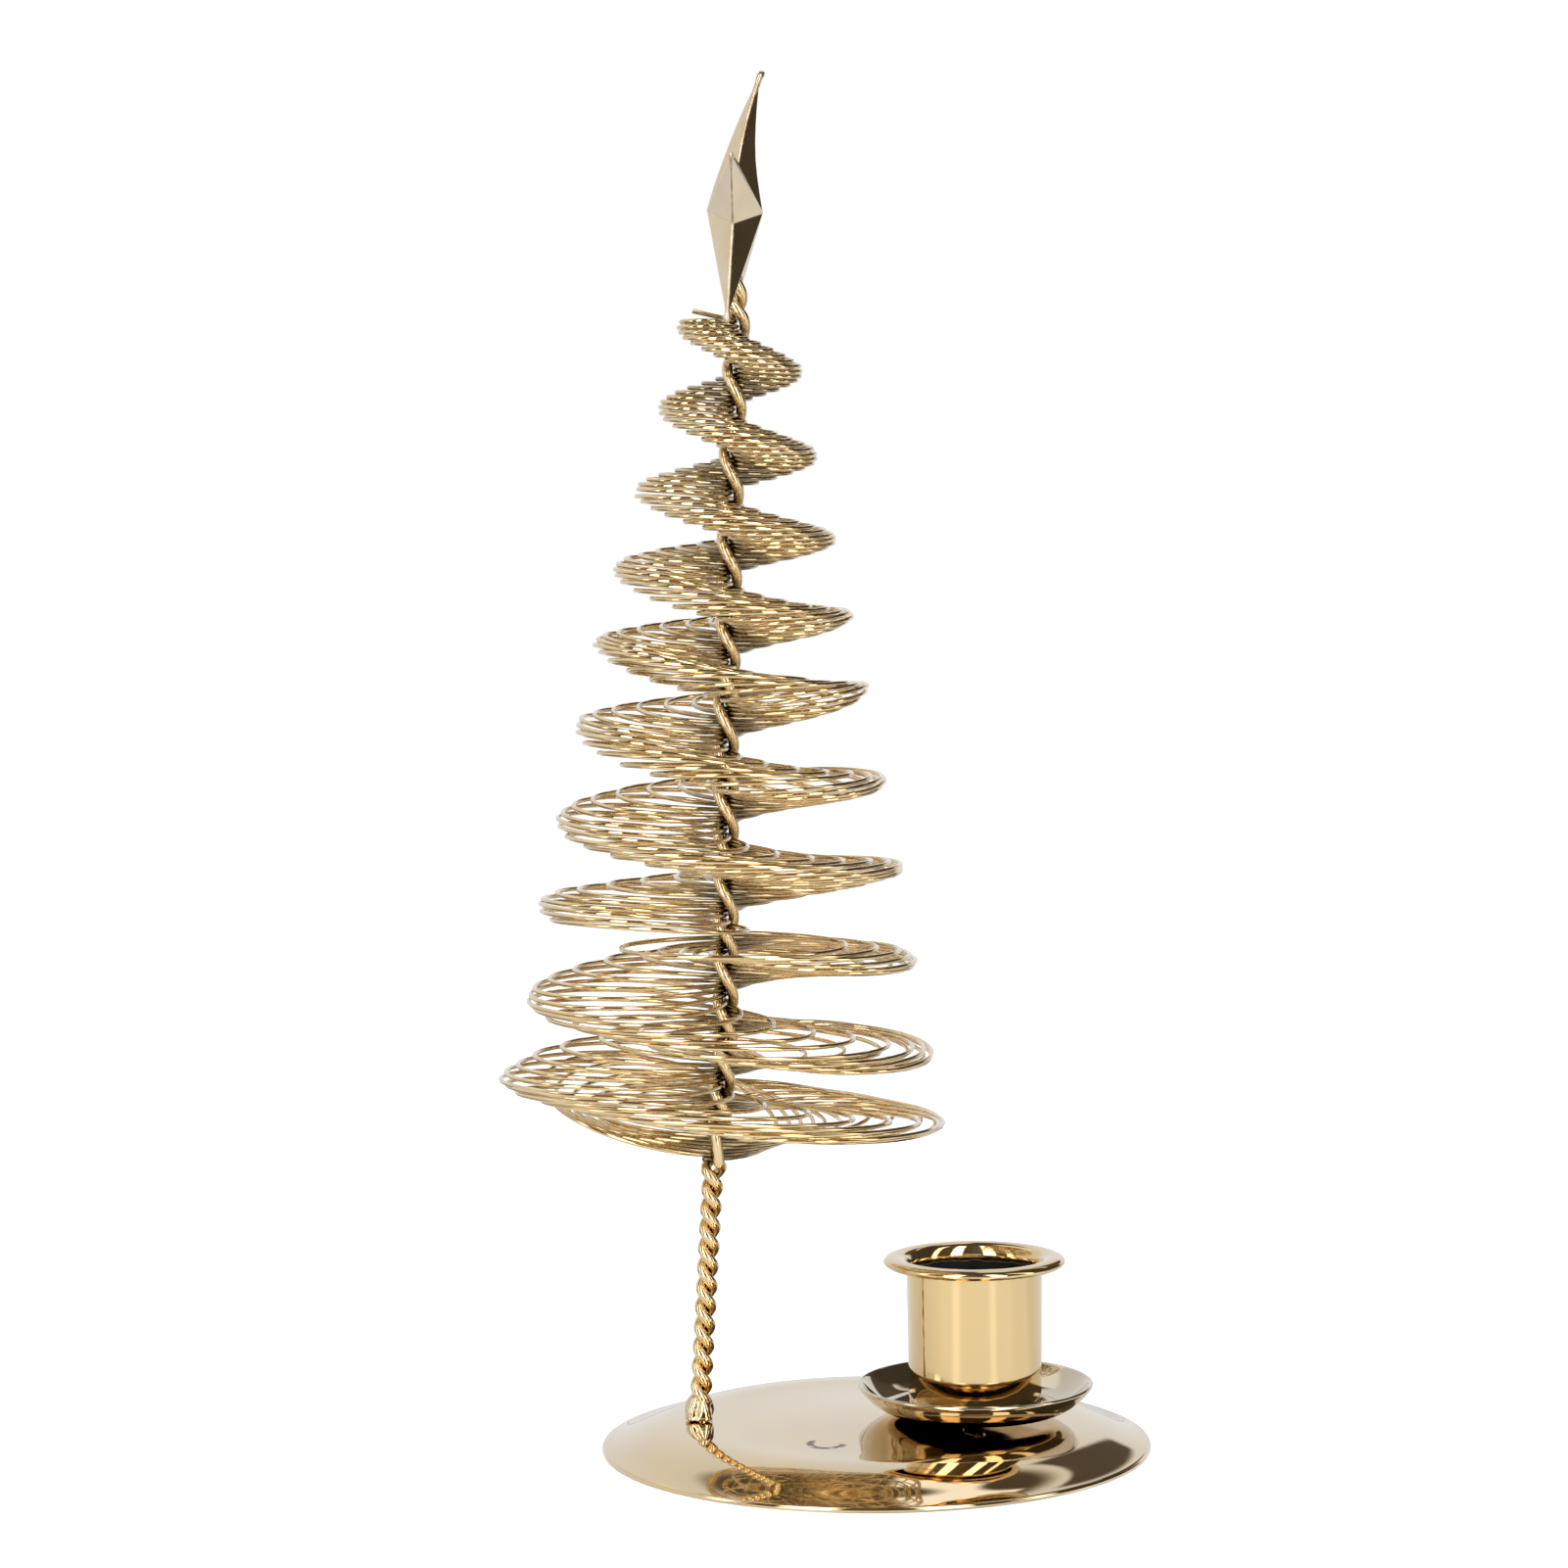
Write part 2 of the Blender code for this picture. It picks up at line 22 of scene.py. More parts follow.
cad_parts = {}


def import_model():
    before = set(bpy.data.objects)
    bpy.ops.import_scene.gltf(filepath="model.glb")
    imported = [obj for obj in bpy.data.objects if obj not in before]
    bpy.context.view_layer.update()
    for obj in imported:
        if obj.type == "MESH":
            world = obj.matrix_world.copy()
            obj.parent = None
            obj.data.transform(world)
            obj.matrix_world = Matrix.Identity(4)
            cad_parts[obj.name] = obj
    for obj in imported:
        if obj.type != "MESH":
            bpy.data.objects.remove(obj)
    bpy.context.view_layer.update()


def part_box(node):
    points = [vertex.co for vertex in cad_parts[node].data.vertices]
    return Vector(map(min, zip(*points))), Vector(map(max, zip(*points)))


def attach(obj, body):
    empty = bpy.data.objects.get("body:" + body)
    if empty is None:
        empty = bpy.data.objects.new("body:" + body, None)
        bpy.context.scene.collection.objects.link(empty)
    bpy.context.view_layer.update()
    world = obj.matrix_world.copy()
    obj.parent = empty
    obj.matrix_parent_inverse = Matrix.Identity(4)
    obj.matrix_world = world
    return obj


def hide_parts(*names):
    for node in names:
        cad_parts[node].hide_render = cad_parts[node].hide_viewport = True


LOG = logging.getLogger("candle_holder")
MM = 0.001
FULL_TURN = 2.0 * math.pi
DEGREES = 180.0 / math.pi
BODY = "root"
WHITE = (1.0, 1.0, 1.0)
FLOAT_SOCKET = "NodeSocketFloat"
COLOUR_SOCKET = "NodeSocketColor"
Triple = tuple[float, float, float]
Outline = list[tuple[float, float]]
Faces = list[tuple[int, ...]]
Amount = "float | Reading"


class Slot(Enum):
    """Names of the kinds of finish, one given with each piece; nothing here reads them."""

    SHEET = "polished_brass_sheet"
    PALE_SHEET = "pale_brass_sheet"
    WIRE = "brass_wire"
    STAR = "pale_brass_star"
    SOLDER = "plated_solder"


def smoothstep(low: float, high: float, value: np.ndarray | float) -> np.ndarray:
    """Smooth share from 0 at low to 1 at high."""
    share = np.clip((np.asarray(value, float) - low) / (high - low), 0.0, 1.0)
    return share * share * (3.0 - 2.0 * share)


def smooth_curve(places: Sequence[float], values: Sequence[float], at: np.ndarray | float) -> np.ndarray:
    """Smooth curve through rising places.

    Args:
        places: Rising places of the knots.
        values: Value at each knot.
        at: Where the curve is read.

    Returns:
        The curve's values, held past both ends.
    """
    places, values = np.array(places), np.array(values)
    slopes = np.gradient(values, places)
    at = np.clip(np.asarray(at, float), places[0], places[-1])
    i = np.clip(np.searchsorted(places, at) - 1, 0, len(places) - 2)
    span = places[i + 1] - places[i]
    t = (at - places[i]) / span
    start = (2 * t**3 - 3 * t**2 + 1) * values[i] + (t**3 - 2 * t**2 + t) * span * slopes[i]
    return start + (3 * t**2 - 2 * t**3) * values[i + 1] + (t**3 - t**2) * span * slopes[i + 1]


def stand(name: str, data: bpy.types.ID) -> bpy.types.Object:
    """Puts an object in the scene.

    Args:
        name: Its name.
        data: Its mesh, lamp or camera.

    Returns:
        The object, at the origin.
    """
    obj = bpy.data.objects.new(name, data)
    bpy.context.scene.collection.objects.link(obj)
    return obj


def arc(centre: tuple[float, float], reach: tuple[float, float], degrees: Sequence[float]) -> Outline:
    """Points of an arc of a circle or an ellipse in a section.

    Args:
        centre: Its centre, as (radius, height).
        reach: Its half-width and half-height.
        degrees: Angles of the points, from straight out towards straight up.

    Returns:
        The points.
    """
    return [
        (centre[0] + reach[0] * math.cos(a), centre[1] + reach[1] * math.sin(a))
        for a in np.radians(degrees)
    ]


def sheet_outline(path: Outline, sheet: float, cap: int = 4) -> Outline:
    """Closed outline of a sheet whose middle follows a path, with rounded edges.

    Args:
        path: (radius, height) points of the middle of the sheet.
        sheet: Its thickness.
        cap: Steps round each edge.

    Returns:
        The outline, once round.
    """
    middle = np.array(path, float)
    along = np.gradient(middle, axis=0)
    along /= np.linalg.norm(along, axis=1)[:, None]
    across = np.stack([-along[:, 1], along[:, 0]], axis=1)
    half = sheet / 2.0
    turns = math.pi * np.arange(1, cap + 1)[:, None] / (cap + 1)
    far_edge = middle[-1] + half * (np.cos(turns) * across[-1] + np.sin(turns) * along[-1])
    near_edge = middle[0] - half * (np.cos(turns) * across[0] + np.sin(turns) * along[0])
    upper, lower = middle + half * across, middle - half * across
    return [(float(r), float(z)) for r, z in np.concatenate([upper, far_edge, lower[::-1], near_edge])]


def grid_faces(rows: int, columns: int, closed: bool = True) -> Faces:
    """Faces of a grid of points whose last row meets its first.

    Args:
        rows: Rows of points.
        columns: Points in a row.
        closed: Whether the last point of a row meets the first one, too.

    Returns:
        The faces, wound alike.
    """
    faces = []
    for i in range(rows):
        row, ahead = i * columns, (i + 1) % rows * columns
        for j in range(columns if closed else columns - 1):
            k = (j + 1) % columns
            faces.append((row + j, ahead + j, ahead + k, row + k))
    return faces


def revolved(outline: Outline, steps: int, centre_x: float) -> tuple[np.ndarray, Faces]:
    """Turns an outline about an upright axis.

    Args:
        outline: (radius, height) points. It runs from the axis back to the axis, or else closes
            from its last point to its first.
        steps: Steps round the axis.
        centre_x: Where the axis stands.

    Returns:
        The points and the faces.
    """
    radius, height = np.array(outline).T
    angles = np.linspace(0.0, FULL_TURN, steps, endpoint=False)[:, None]
    rings = np.broadcast_arrays(centre_x + radius * np.cos(angles), radius * np.sin(angles), height)
    return np.stack(rings, axis=-1).reshape(-1, 3), grid_faces(steps, len(outline), radius[0] > 0.0)


def closed_tube(path: np.ndarray, radii: np.ndarray, sides: int) -> tuple[np.ndarray, Faces]:
    """Tube along a closed run of points that nowhere runs along X.

    Args:
        path: The points.
        radii: Radius at each point.
        sides: Sides of the tube.

    Returns:
        The points and the faces.
    """
    along = np.roll(path, -1, axis=0) - np.roll(path, 1, axis=0)
    along /= np.linalg.norm(along, axis=1)[:, None]
    first = np.cross(along, np.array([1.0, 0.0, 0.0]))
    first /= np.linalg.norm(first, axis=1)[:, None]
    second = np.cross(along, first)
    angles = np.linspace(0.0, FULL_TURN, sides, endpoint=False)
    rows = [path + radii[:, None] * (math.cos(a) * first + math.sin(a) * second) for a in angles]
    return np.stack(rows, axis=1).reshape(-1, 3), grid_faces(len(path), sides)


class Reading:
    """A number that a node tree works out, and that a formula takes like any other number."""

    def __init__(self, sheet: NodeSheet, socket: bpy.types.NodeSocket) -> None:
        """Takes the sheet of nodes, and the socket that gives the number."""
        self.sheet = sheet
        self.socket = socket

    def __add__(self, other: Amount) -> Reading:
        """Sum of the two."""
        return self.sheet.math("ADD", self, other)

    def __mul__(self, other: Amount) -> Reading:
        """Product of the two."""
        return self.sheet.math("MULTIPLY", self, other)

    def __sub__(self, other: Amount) -> Reading:
        """This reading less the other number."""
        return self.sheet.math("SUBTRACT", self, other)

    def __rsub__(self, other: float) -> Reading:
        """The other number less this reading."""
        return self.sheet.math("SUBTRACT", other, self)

    def __abs__(self) -> Reading:
        """Size of the reading, without its sign."""
        return self.sheet.math("ABSOLUTE", self)

    __radd__ = __add__
    __rmul__ = __mul__


class NodeSheet:
    """A node tree with short ways to add, set and join its nodes."""

    def __init__(self, tree: bpy.types.NodeTree) -> None:
        """Takes the tree to write on."""
        self.tree = tree

    def feed(self, socket: bpy.types.NodeSocket, value: object) -> None:
        """Joins a reading or a socket to an input, or sets the input to a plain value.

        Args:
            socket: The input.
            value: What it takes. A plain colour is red, green and blue.
        """
        source = value.socket if isinstance(value, Reading) else value
        if isinstance(source, bpy.types.NodeSocket):
            self.tree.links.new(source, socket)
        else:
            socket.default_value = (*source, 1.0) if socket.type == "RGBA" else source

    def add(self, kind: str, inputs: dict | None = None, **settings: object) -> bpy.types.Node:
        """Adds a node.

        Args:
            kind: Its type.
            inputs: What its inputs take, by name or number.
            settings: Its own settings.

        Returns:
            The node.
        """
        node = self.tree.nodes.new(kind)
        for key, value in settings.items():
            setattr(node, key, value)
        for key, value in (inputs or {}).items():
            self.feed(node.inputs[key], value)
        return node

    def math(self, operation: str, *values: object) -> Reading:
        """Result of a math node on numbers, readings or sockets."""
        node = self.add("ShaderNodeMath", dict(enumerate(values)), operation=operation)
        return Reading(self, node.outputs[0])

    def distance(self, x: Reading, y: Reading) -> Reading:
        """Distance from zero of a place with two coordinates."""
        return self.math("SQRT", x * x + y * y)

    def fade(self, value: Amount, low: float, high: float) -> Reading:
        """Smooth share from 0 at low to 1 at high.

        Args:
            value: The number to judge.
            low: Where the share is 0.
            high: Where it is 1. It may be the lower one.

        Returns:
            The share.
        """
        inputs = {0: value, 1: low, 2: high}
        node = self.add("ShaderNodeMapRange", inputs, interpolation_type="SMOOTHSTEP")
        return Reading(self, node.outputs[0])

    def blend(self, share: Amount, first: object, second: object) -> bpy.types.NodeSocket:
        """Mix of two colours."""
        return self.add("ShaderNodeMix", {0: share, 6: first, 7: second}, data_type="RGBA").outputs[2]

    def noise(self, scale: object, detail: float) -> Reading:
        """Cloudy noise over the piece's own coordinates."""
        inputs = {"Vector": self.place("Object"), "Scale": scale, "Detail": detail}
        return Reading(self, self.add("ShaderNodeTexNoise", inputs).outputs[0])

    def place(self, kind: str) -> bpy.types.NodeSocket:
        """Texture coordinates of a kind."""
        return self.add("ShaderNodeTexCoord").outputs[kind]

    def split(self, kind: str) -> list[Reading]:
        """X, Y and Z of the texture coordinates of a kind."""
        parts = self.add("ShaderNodeSeparateXYZ", {0: self.place(kind)})
        return [Reading(self, part) for part in parts.outputs]

    def rays(self) -> tuple[Reading, Reading]:
        """Tells the rays of a picture apart.

        Returns:
            Masks of the rays that metal mirrors, and of those seen straight or through glass.
        """
        ray = self.add("ShaderNodeLightPath").outputs
        seen = self.math("MAXIMUM", ray["Is Camera Ray"], ray["Is Transmission Ray"])
        return Reading(self, ray["Is Glossy Ray"]), seen


class Surface(NodeSheet):
    """The nodes of a material, with its Principled shader."""

    def __init__(self, name: str) -> None:
        """Starts a material.

        Args:
            name: Its name.
        """
        self.material = bpy.data.materials.new(name)
        self.material.use_nodes = True
        super().__init__(self.material.node_tree)
        self.shader = self.tree.nodes["Principled BSDF"]

    def worn(self, key: str) -> bpy.types.NodeSocket:
        """What feeds one of the shader's inputs so far."""
        return self.shader.inputs[key].links[0].from_socket

    def dress(self, values: dict[str, object]) -> None:
        """Joins or sets the shader's inputs, by name."""
        for key, value in values.items():
            self.feed(self.shader.inputs[key], value)


class Effects:
    """Surface effects that several finishes share, each a node group built once."""

    def __init__(self) -> None:
        """Builds the groups."""
        self.tone = self._tone()
        self.dust = self._dust()
        self.ripple = self._ripple()

    @staticmethod
    def _group(
        name: str, inputs: dict[str, float | Triple], outputs: dict[str, str]
    ) -> tuple[NodeSheet, bpy.types.NodeOutputs, bpy.types.NodeInputs]:
        """Starts a shader node group.

        Args:
            name: Its name.
            inputs: Value of each input: a number or a colour.
            outputs: Type of each output.

        Returns:
            Its sheet, what it is given and what it puts out.
        """
        group = bpy.data.node_groups.new(name, "ShaderNodeTree")
        for label, value in inputs.items():
            kind = COLOUR_SOCKET if isinstance(value, tuple) else FLOAT_SOCKET
            socket = group.interface.new_socket(label, in_out="INPUT", socket_type=kind)
            socket.default_value = (*value, 1.0) if isinstance(value, tuple) else value
        for label, kind in outputs.items():
            group.interface.new_socket(label, in_out="OUTPUT", socket_type=kind)
        sheet = NodeSheet(group)
        return sheet, sheet.add("NodeGroupInput").outputs, sheet.add("NodeGroupOutput").inputs

    def _tone(self) -> bpy.types.NodeTree:
        """Slow drift of the plating's colour between two tones.

        Returns:
            The group.
        """
        brass = (0.8, 0.6, 0.3)
        sheet, given, out = self._group(
            "plating_tone", {"Scale": 60.0, "Main": brass, "Drift": brass}, {"Colour": COLOUR_SOCKET}
        )
        share = sheet.fade(sheet.noise(given["Scale"], 3.0), 0.35, 0.65)
        sheet.feed(out["Colour"], sheet.blend(share, given["Main"], given["Drift"]))
        return sheet.tree

    def _dust(self) -> bpy.types.NodeTree:
        """Mask of small specks of dust, and of the fine haze of handling.

        Returns:
            The group.
        """
        sheet, given, out = self._group(
            "dust_and_haze",
            {"Size": 400.0, "Rarity": 0.9},
            {"Specks": FLOAT_SOCKET, "Haze": FLOAT_SOCKET},
        )
        cells = sheet.add(
            "ShaderNodeTexVoronoi", {"Vector": sheet.place("Object"), "Scale": given["Size"]}
        ).outputs
        chosen = sheet.math("GREATER_THAN", cells["Color"], given["Rarity"])
        sheet.feed(out["Specks"], chosen * sheet.math("LESS_THAN", cells["Distance"], 0.13))
        sheet.feed(out["Haze"], sheet.fade(sheet.noise(180.0, 6.0), 0.3, 0.75))
        return sheet.tree

    def _ripple(self) -> bpy.types.NodeTree:
        """Height of the faint waves and pits that pressing leaves under the plating.

        Returns:
            The group.
        """
        sheet, given, out = self._group(
            "pressed_ripple",
            {"Wave Scale": 45.0, "Grain Scale": 900.0, "Grain Share": 0.1},
            {"Height": FLOAT_SOCKET},
        )
        grain = sheet.noise(given["Grain Scale"], 2.0) * given["Grain Share"]
        sheet.feed(out["Height"], sheet.noise(given["Wave Scale"], 1.0) + grain)
        return sheet.tree


@dataclass(frozen=True)
class BrassFinish:
    """A polished and lacquered brass surface. Depths are in metres, and scales in waves a metre."""

    name: str
    main: Triple
    drift: Triple
    roughness: float
    haze: float = 0.05
    ripple_depth: float = 0.00005
    wave_scale: float = 45.0
    grain_share: float = 0.1
    tone_scale: float = 60.0
    speck_size: float = 400.0
    speck_rarity: float = 2.0
    speck_colour: Triple = (0.85, 0.85, 0.84)
    speck_roughness: float = 0.6
    lacquer_roughness: float = 0.03
    lacquer_ior: float = 1.5

    def surface(self, effects: Effects) -> Surface:
        """Builds the material.

        Args:
            effects: The shared node groups.

        Returns:
            A metallic surface with tone, haze, dust and ripple.
        """
        surface = Surface(self.name)
        groups = (
            (effects.tone, {"Scale": self.tone_scale, "Main": self.main, "Drift": self.drift}),
            (effects.dust, {"Size": self.speck_size, "Rarity": self.speck_rarity}),
            (effects.ripple, {"Wave Scale": self.wave_scale, "Grain Share": self.grain_share}),
        )
        tone, dust, ripple = (
            surface.add("ShaderNodeGroup", inputs, node_tree=group).outputs for group, inputs in groups
        )
        specks, haze = (Reading(surface, dust[name]) for name in ("Specks", "Haze"))
        bump = {"Height": ripple["Height"], "Strength": 1.0, "Distance": self.ripple_depth}
        surface.dress(
            {
                "Base Color": surface.blend(specks, tone["Colour"], self.speck_colour),
                "Roughness": haze * self.haze + self.roughness + specks * self.speck_roughness,
                "Metallic": 1.0 - specks,
                "Normal": surface.add("ShaderNodeBump", bump).outputs[0],
                "Coat Weight": 1.0,
                "Coat Roughness": self.lacquer_roughness,
                "Coat IOR": self.lacquer_ior,
            }
        )
        return surface


DISH_FINISH = BrassFinish(
    "polished_dish", main=(0.76, 0.57, 0.29), drift=(0.71, 0.55, 0.33), roughness=0.03,
    ripple_depth=0.000012, wave_scale=60.0, grain_share=0.05, speck_size=260.0, speck_rarity=0.965,
)
PAN_FINISH = BrassFinish(
    "spun_pan", main=(0.66, 0.55, 0.39), drift=(0.56, 0.48, 0.35), roughness=0.03,
    ripple_depth=0.00003, wave_scale=110.0, speck_size=420.0, speck_rarity=0.93,
)
SOCKET_FINISH = BrassFinish(
    "drawn_socket", main=(0.76, 0.555, 0.265), drift=(0.74, 0.545, 0.27), roughness=0.06,
    haze=0.03, ripple_depth=0.000006, speck_rarity=0.99,
)
RIVET_FINISH = BrassFinish(
    "rivet_brass", main=(0.70, 0.52, 0.26), drift=(0.62, 0.46, 0.24), roughness=0.16, haze=0.1
)
STEM_FINISH = BrassFinish(
    "stem_wire_brass", main=(0.80, 0.60, 0.32), drift=(0.75, 0.56, 0.30), roughness=0.06,
    tone_scale=200.0, ripple_depth=0.00004, wave_scale=500.0,
)
COIL_FINISH = BrassFinish(
    "coil_wire_brass", main=(0.79, 0.60, 0.31), drift=(0.76, 0.56, 0.27), roughness=0.025,
    haze=0.02, tone_scale=120.0, ripple_depth=0.00001, wave_scale=300.0,
)
STAR_FINISH = BrassFinish(
    "star_brass", main=(0.77, 0.64, 0.44), drift=(0.72, 0.55, 0.31), roughness=0.08,
    haze=0.06, tone_scale=80.0, ripple_depth=0.00006, wave_scale=120.0,
)
SOLDER_FINISH = BrassFinish(
    "solder_under_plating", main=(0.72, 0.59, 0.40), drift=(0.52, 0.38, 0.20), roughness=0.05,
    haze=0.06, tone_scale=300.0, ripple_depth=0.0001, wave_scale=350.0,
)


@dataclass(frozen=True)
class Bench:
    """Where the pieces are put together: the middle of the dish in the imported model's frame."""

    middle_x: float
    effects: Effects

    @classmethod
    def from_dish(cls) -> Bench:
        """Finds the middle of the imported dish."""
        low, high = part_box("base_dish")
        return cls((low.x + high.x) / 2.0, Effects())

    def metres(self, points: np.ndarray) -> np.ndarray:
        """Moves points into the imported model's frame.

        Args:
            points: Points in millimetres from the middle of the dish.

        Returns:
            The points in metres.
        """
        placed = np.array(points, float) * MM
        placed[:, 0] += self.middle_x
        return placed

    def mesh(self, name: str, points: np.ndarray, faces: Faces) -> bpy.types.Mesh:
        """Makes a smooth closed mesh whose faces point outwards.

        Args:
            name: Name of the mesh.
            points: Its points, in millimetres from the middle of the dish. Equal ones are merged.
            faces: Its faces, wound alike.

        Returns:
            The mesh, in metres.
        """
        mesh = bpy.data.meshes.new(name)
        mesh.from_pydata(self.metres(points).tolist(), [], faces)
        build = bmesh.new()
        build.from_mesh(mesh)
        bmesh.ops.remove_doubles(build, verts=build.verts[:], dist=1e-7)
        if build.calc_volume(signed=True) < 0.0:
            bmesh.ops.reverse_faces(build, faces=build.faces[:])
        for face in build.faces:
            face.smooth = True
        build.to_mesh(mesh)
        build.free()
        return mesh

    def piece(
        self, mesh: bpy.types.Mesh, surface: Surface, slot: Slot, node: str | None = None
    ) -> None:
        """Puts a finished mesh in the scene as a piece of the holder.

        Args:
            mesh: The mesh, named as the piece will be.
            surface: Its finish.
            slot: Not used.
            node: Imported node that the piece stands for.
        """
        obj = stand(mesh.name, mesh)
        mesh.materials.clear()
        mesh.materials.append(surface.material)
        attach(obj, BODY)
        if node:
            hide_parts(node)
        LOG.info("%s: %d faces, stands for %s", obj.name, len(mesh.polygons), node or "no packed node")


@dataclass(frozen=True)
class Dish:
    """The pressed, domed disc that the holder stands on."""

    radius: float = 47.5
    sheet: float = 0.7
    land: float = 1.4  # width of the flat ring that it stands on
    rim_inset: float = 0.12  # from the rim to where its rounding starts on top
    slope_places: tuple[float, ...] = (0.0, 15.0, 25.0, 31.0, 35.0, 39.0, 43.0, 47.5)
    slopes: tuple[float, ...] = (0.0, 0.049, 0.023, 0.0, 0.137, 0.294, 0.388, 0.24)
    steps: int = 240
    dent_x: float = -8.7
    dent_y: float = -19.5
    dent_inside: tuple[float, float] = (2.0, 2.4)
    dent_outside: tuple[float, float] = (3.8, 3.1)
    dent_end: tuple[float, float] = (1.9, 0.3)
    dent_depth: float = 0.22
    dent_colour: Triple = (0.06, 0.035, 0.015)

    def top(self, radius: np.ndarray | float) -> np.ndarray:
        """Height of the upper surface.

        Args:
            radius: Distance from the middle.

        Returns:
            The height there.
        """
        places = np.linspace(0.0, self.radius, 381)
        slope = smooth_curve(self.slope_places, self.slopes, places)
        falls = np.concatenate([[0.0], np.cumsum((slope[1:] + slope[:-1]) / 2.0)]) * places[1]
        return self.sheet + falls[-1] - np.interp(np.abs(np.asarray(radius, float)), places, falls)

    def outline(self) -> Outline:
        """The dish's section.

        Returns:
            Its outline, from the axis over the rounded rim and back under.
        """
        edge, outer, inner = self.sheet / 2.0, self.radius - self.rim_inset, self.radius - self.land
        above = outer * np.linspace(0.0, 1.0, 90) ** 0.8
        below = inner * np.linspace(1.0, 0.0, 40) ** 0.8
        rim = arc((self.radius - edge, edge), (edge, edge), (55, 35, 15, -5, -30, -60, -90))
        top = list(zip(above, self.top(above)))
        return top + rim + [(inner, 0.0)] + list(zip(below, self.top(below) - self.sheet))

    def waved(self, points: np.ndarray) -> np.ndarray:
        """Presses shallow waves into the sheet, inside its rim.

        Args:
            points: The dish's points.

        Returns:
            The points, moved up or down.
        """
        x, y, z = points.T
        radius = np.hypot(x, y)
        inside = 1.0 - smoothstep(self.radius - 5.0, self.radius - self.land - 0.1, radius)
        long_waves = 0.02 * np.sin(x / 7.0 + 0.6) * np.sin(y / 9.0 + 1.1)
        short_waves = 0.012 * np.sin(x / 3.1 - y / 4.3) * smoothstep(30.0, 44.0, radius)
        return np.stack([x, y, z + inside * (long_waves + short_waves)], axis=1)

    def dent(self, surface: Surface, bench: Bench) -> None:
        """Adds the crescent-shaped dent between the stem and the cup, with its dull floor.

        Args:
            surface: The dish's finish.
            bench: Where the pieces are put together.
        """
        x, y, _ = surface.split("Object")
        x, y = x - (bench.middle_x + self.dent_x * MM), y - self.dent_y * MM
        away = surface.distance(x, y)
        ring = surface.fade(surface.noise(900.0, 3.0), 0.4, 0.52)
        edges = ((away, self.dent_inside), (away, self.dent_outside), (x * 0.6 + y, self.dent_end))
        for reach, (none, full) in edges:
            ring = ring * surface.fade(reach, none * MM, full * MM)
        depth, normal = self.dent_depth * MM, surface.worn("Normal")
        bump = {"Height": ring, "Strength": 1.0, "Distance": depth, "Normal": normal}
        surface.dress(
            {
                "Normal": surface.add("ShaderNodeBump", bump, invert=True).outputs[0],
                "Base Color": surface.blend(ring * 0.97, surface.worn("Base Color"), self.dent_colour),
                "Coat Weight": 1.0 - ring,
            }
        )

    def build(self, bench: Bench) -> None:
        """Makes the dish.

        Args:
            bench: Where the pieces are put together.
        """
        points, faces = revolved(self.outline(), self.steps, 0.0)
        surface = DISH_FINISH.surface(bench.effects)
        self.dent(surface, bench)
        bench.piece(bench.mesh("domed_dish", self.waved(points), faces), surface, Slot.SHEET, "base_dish")


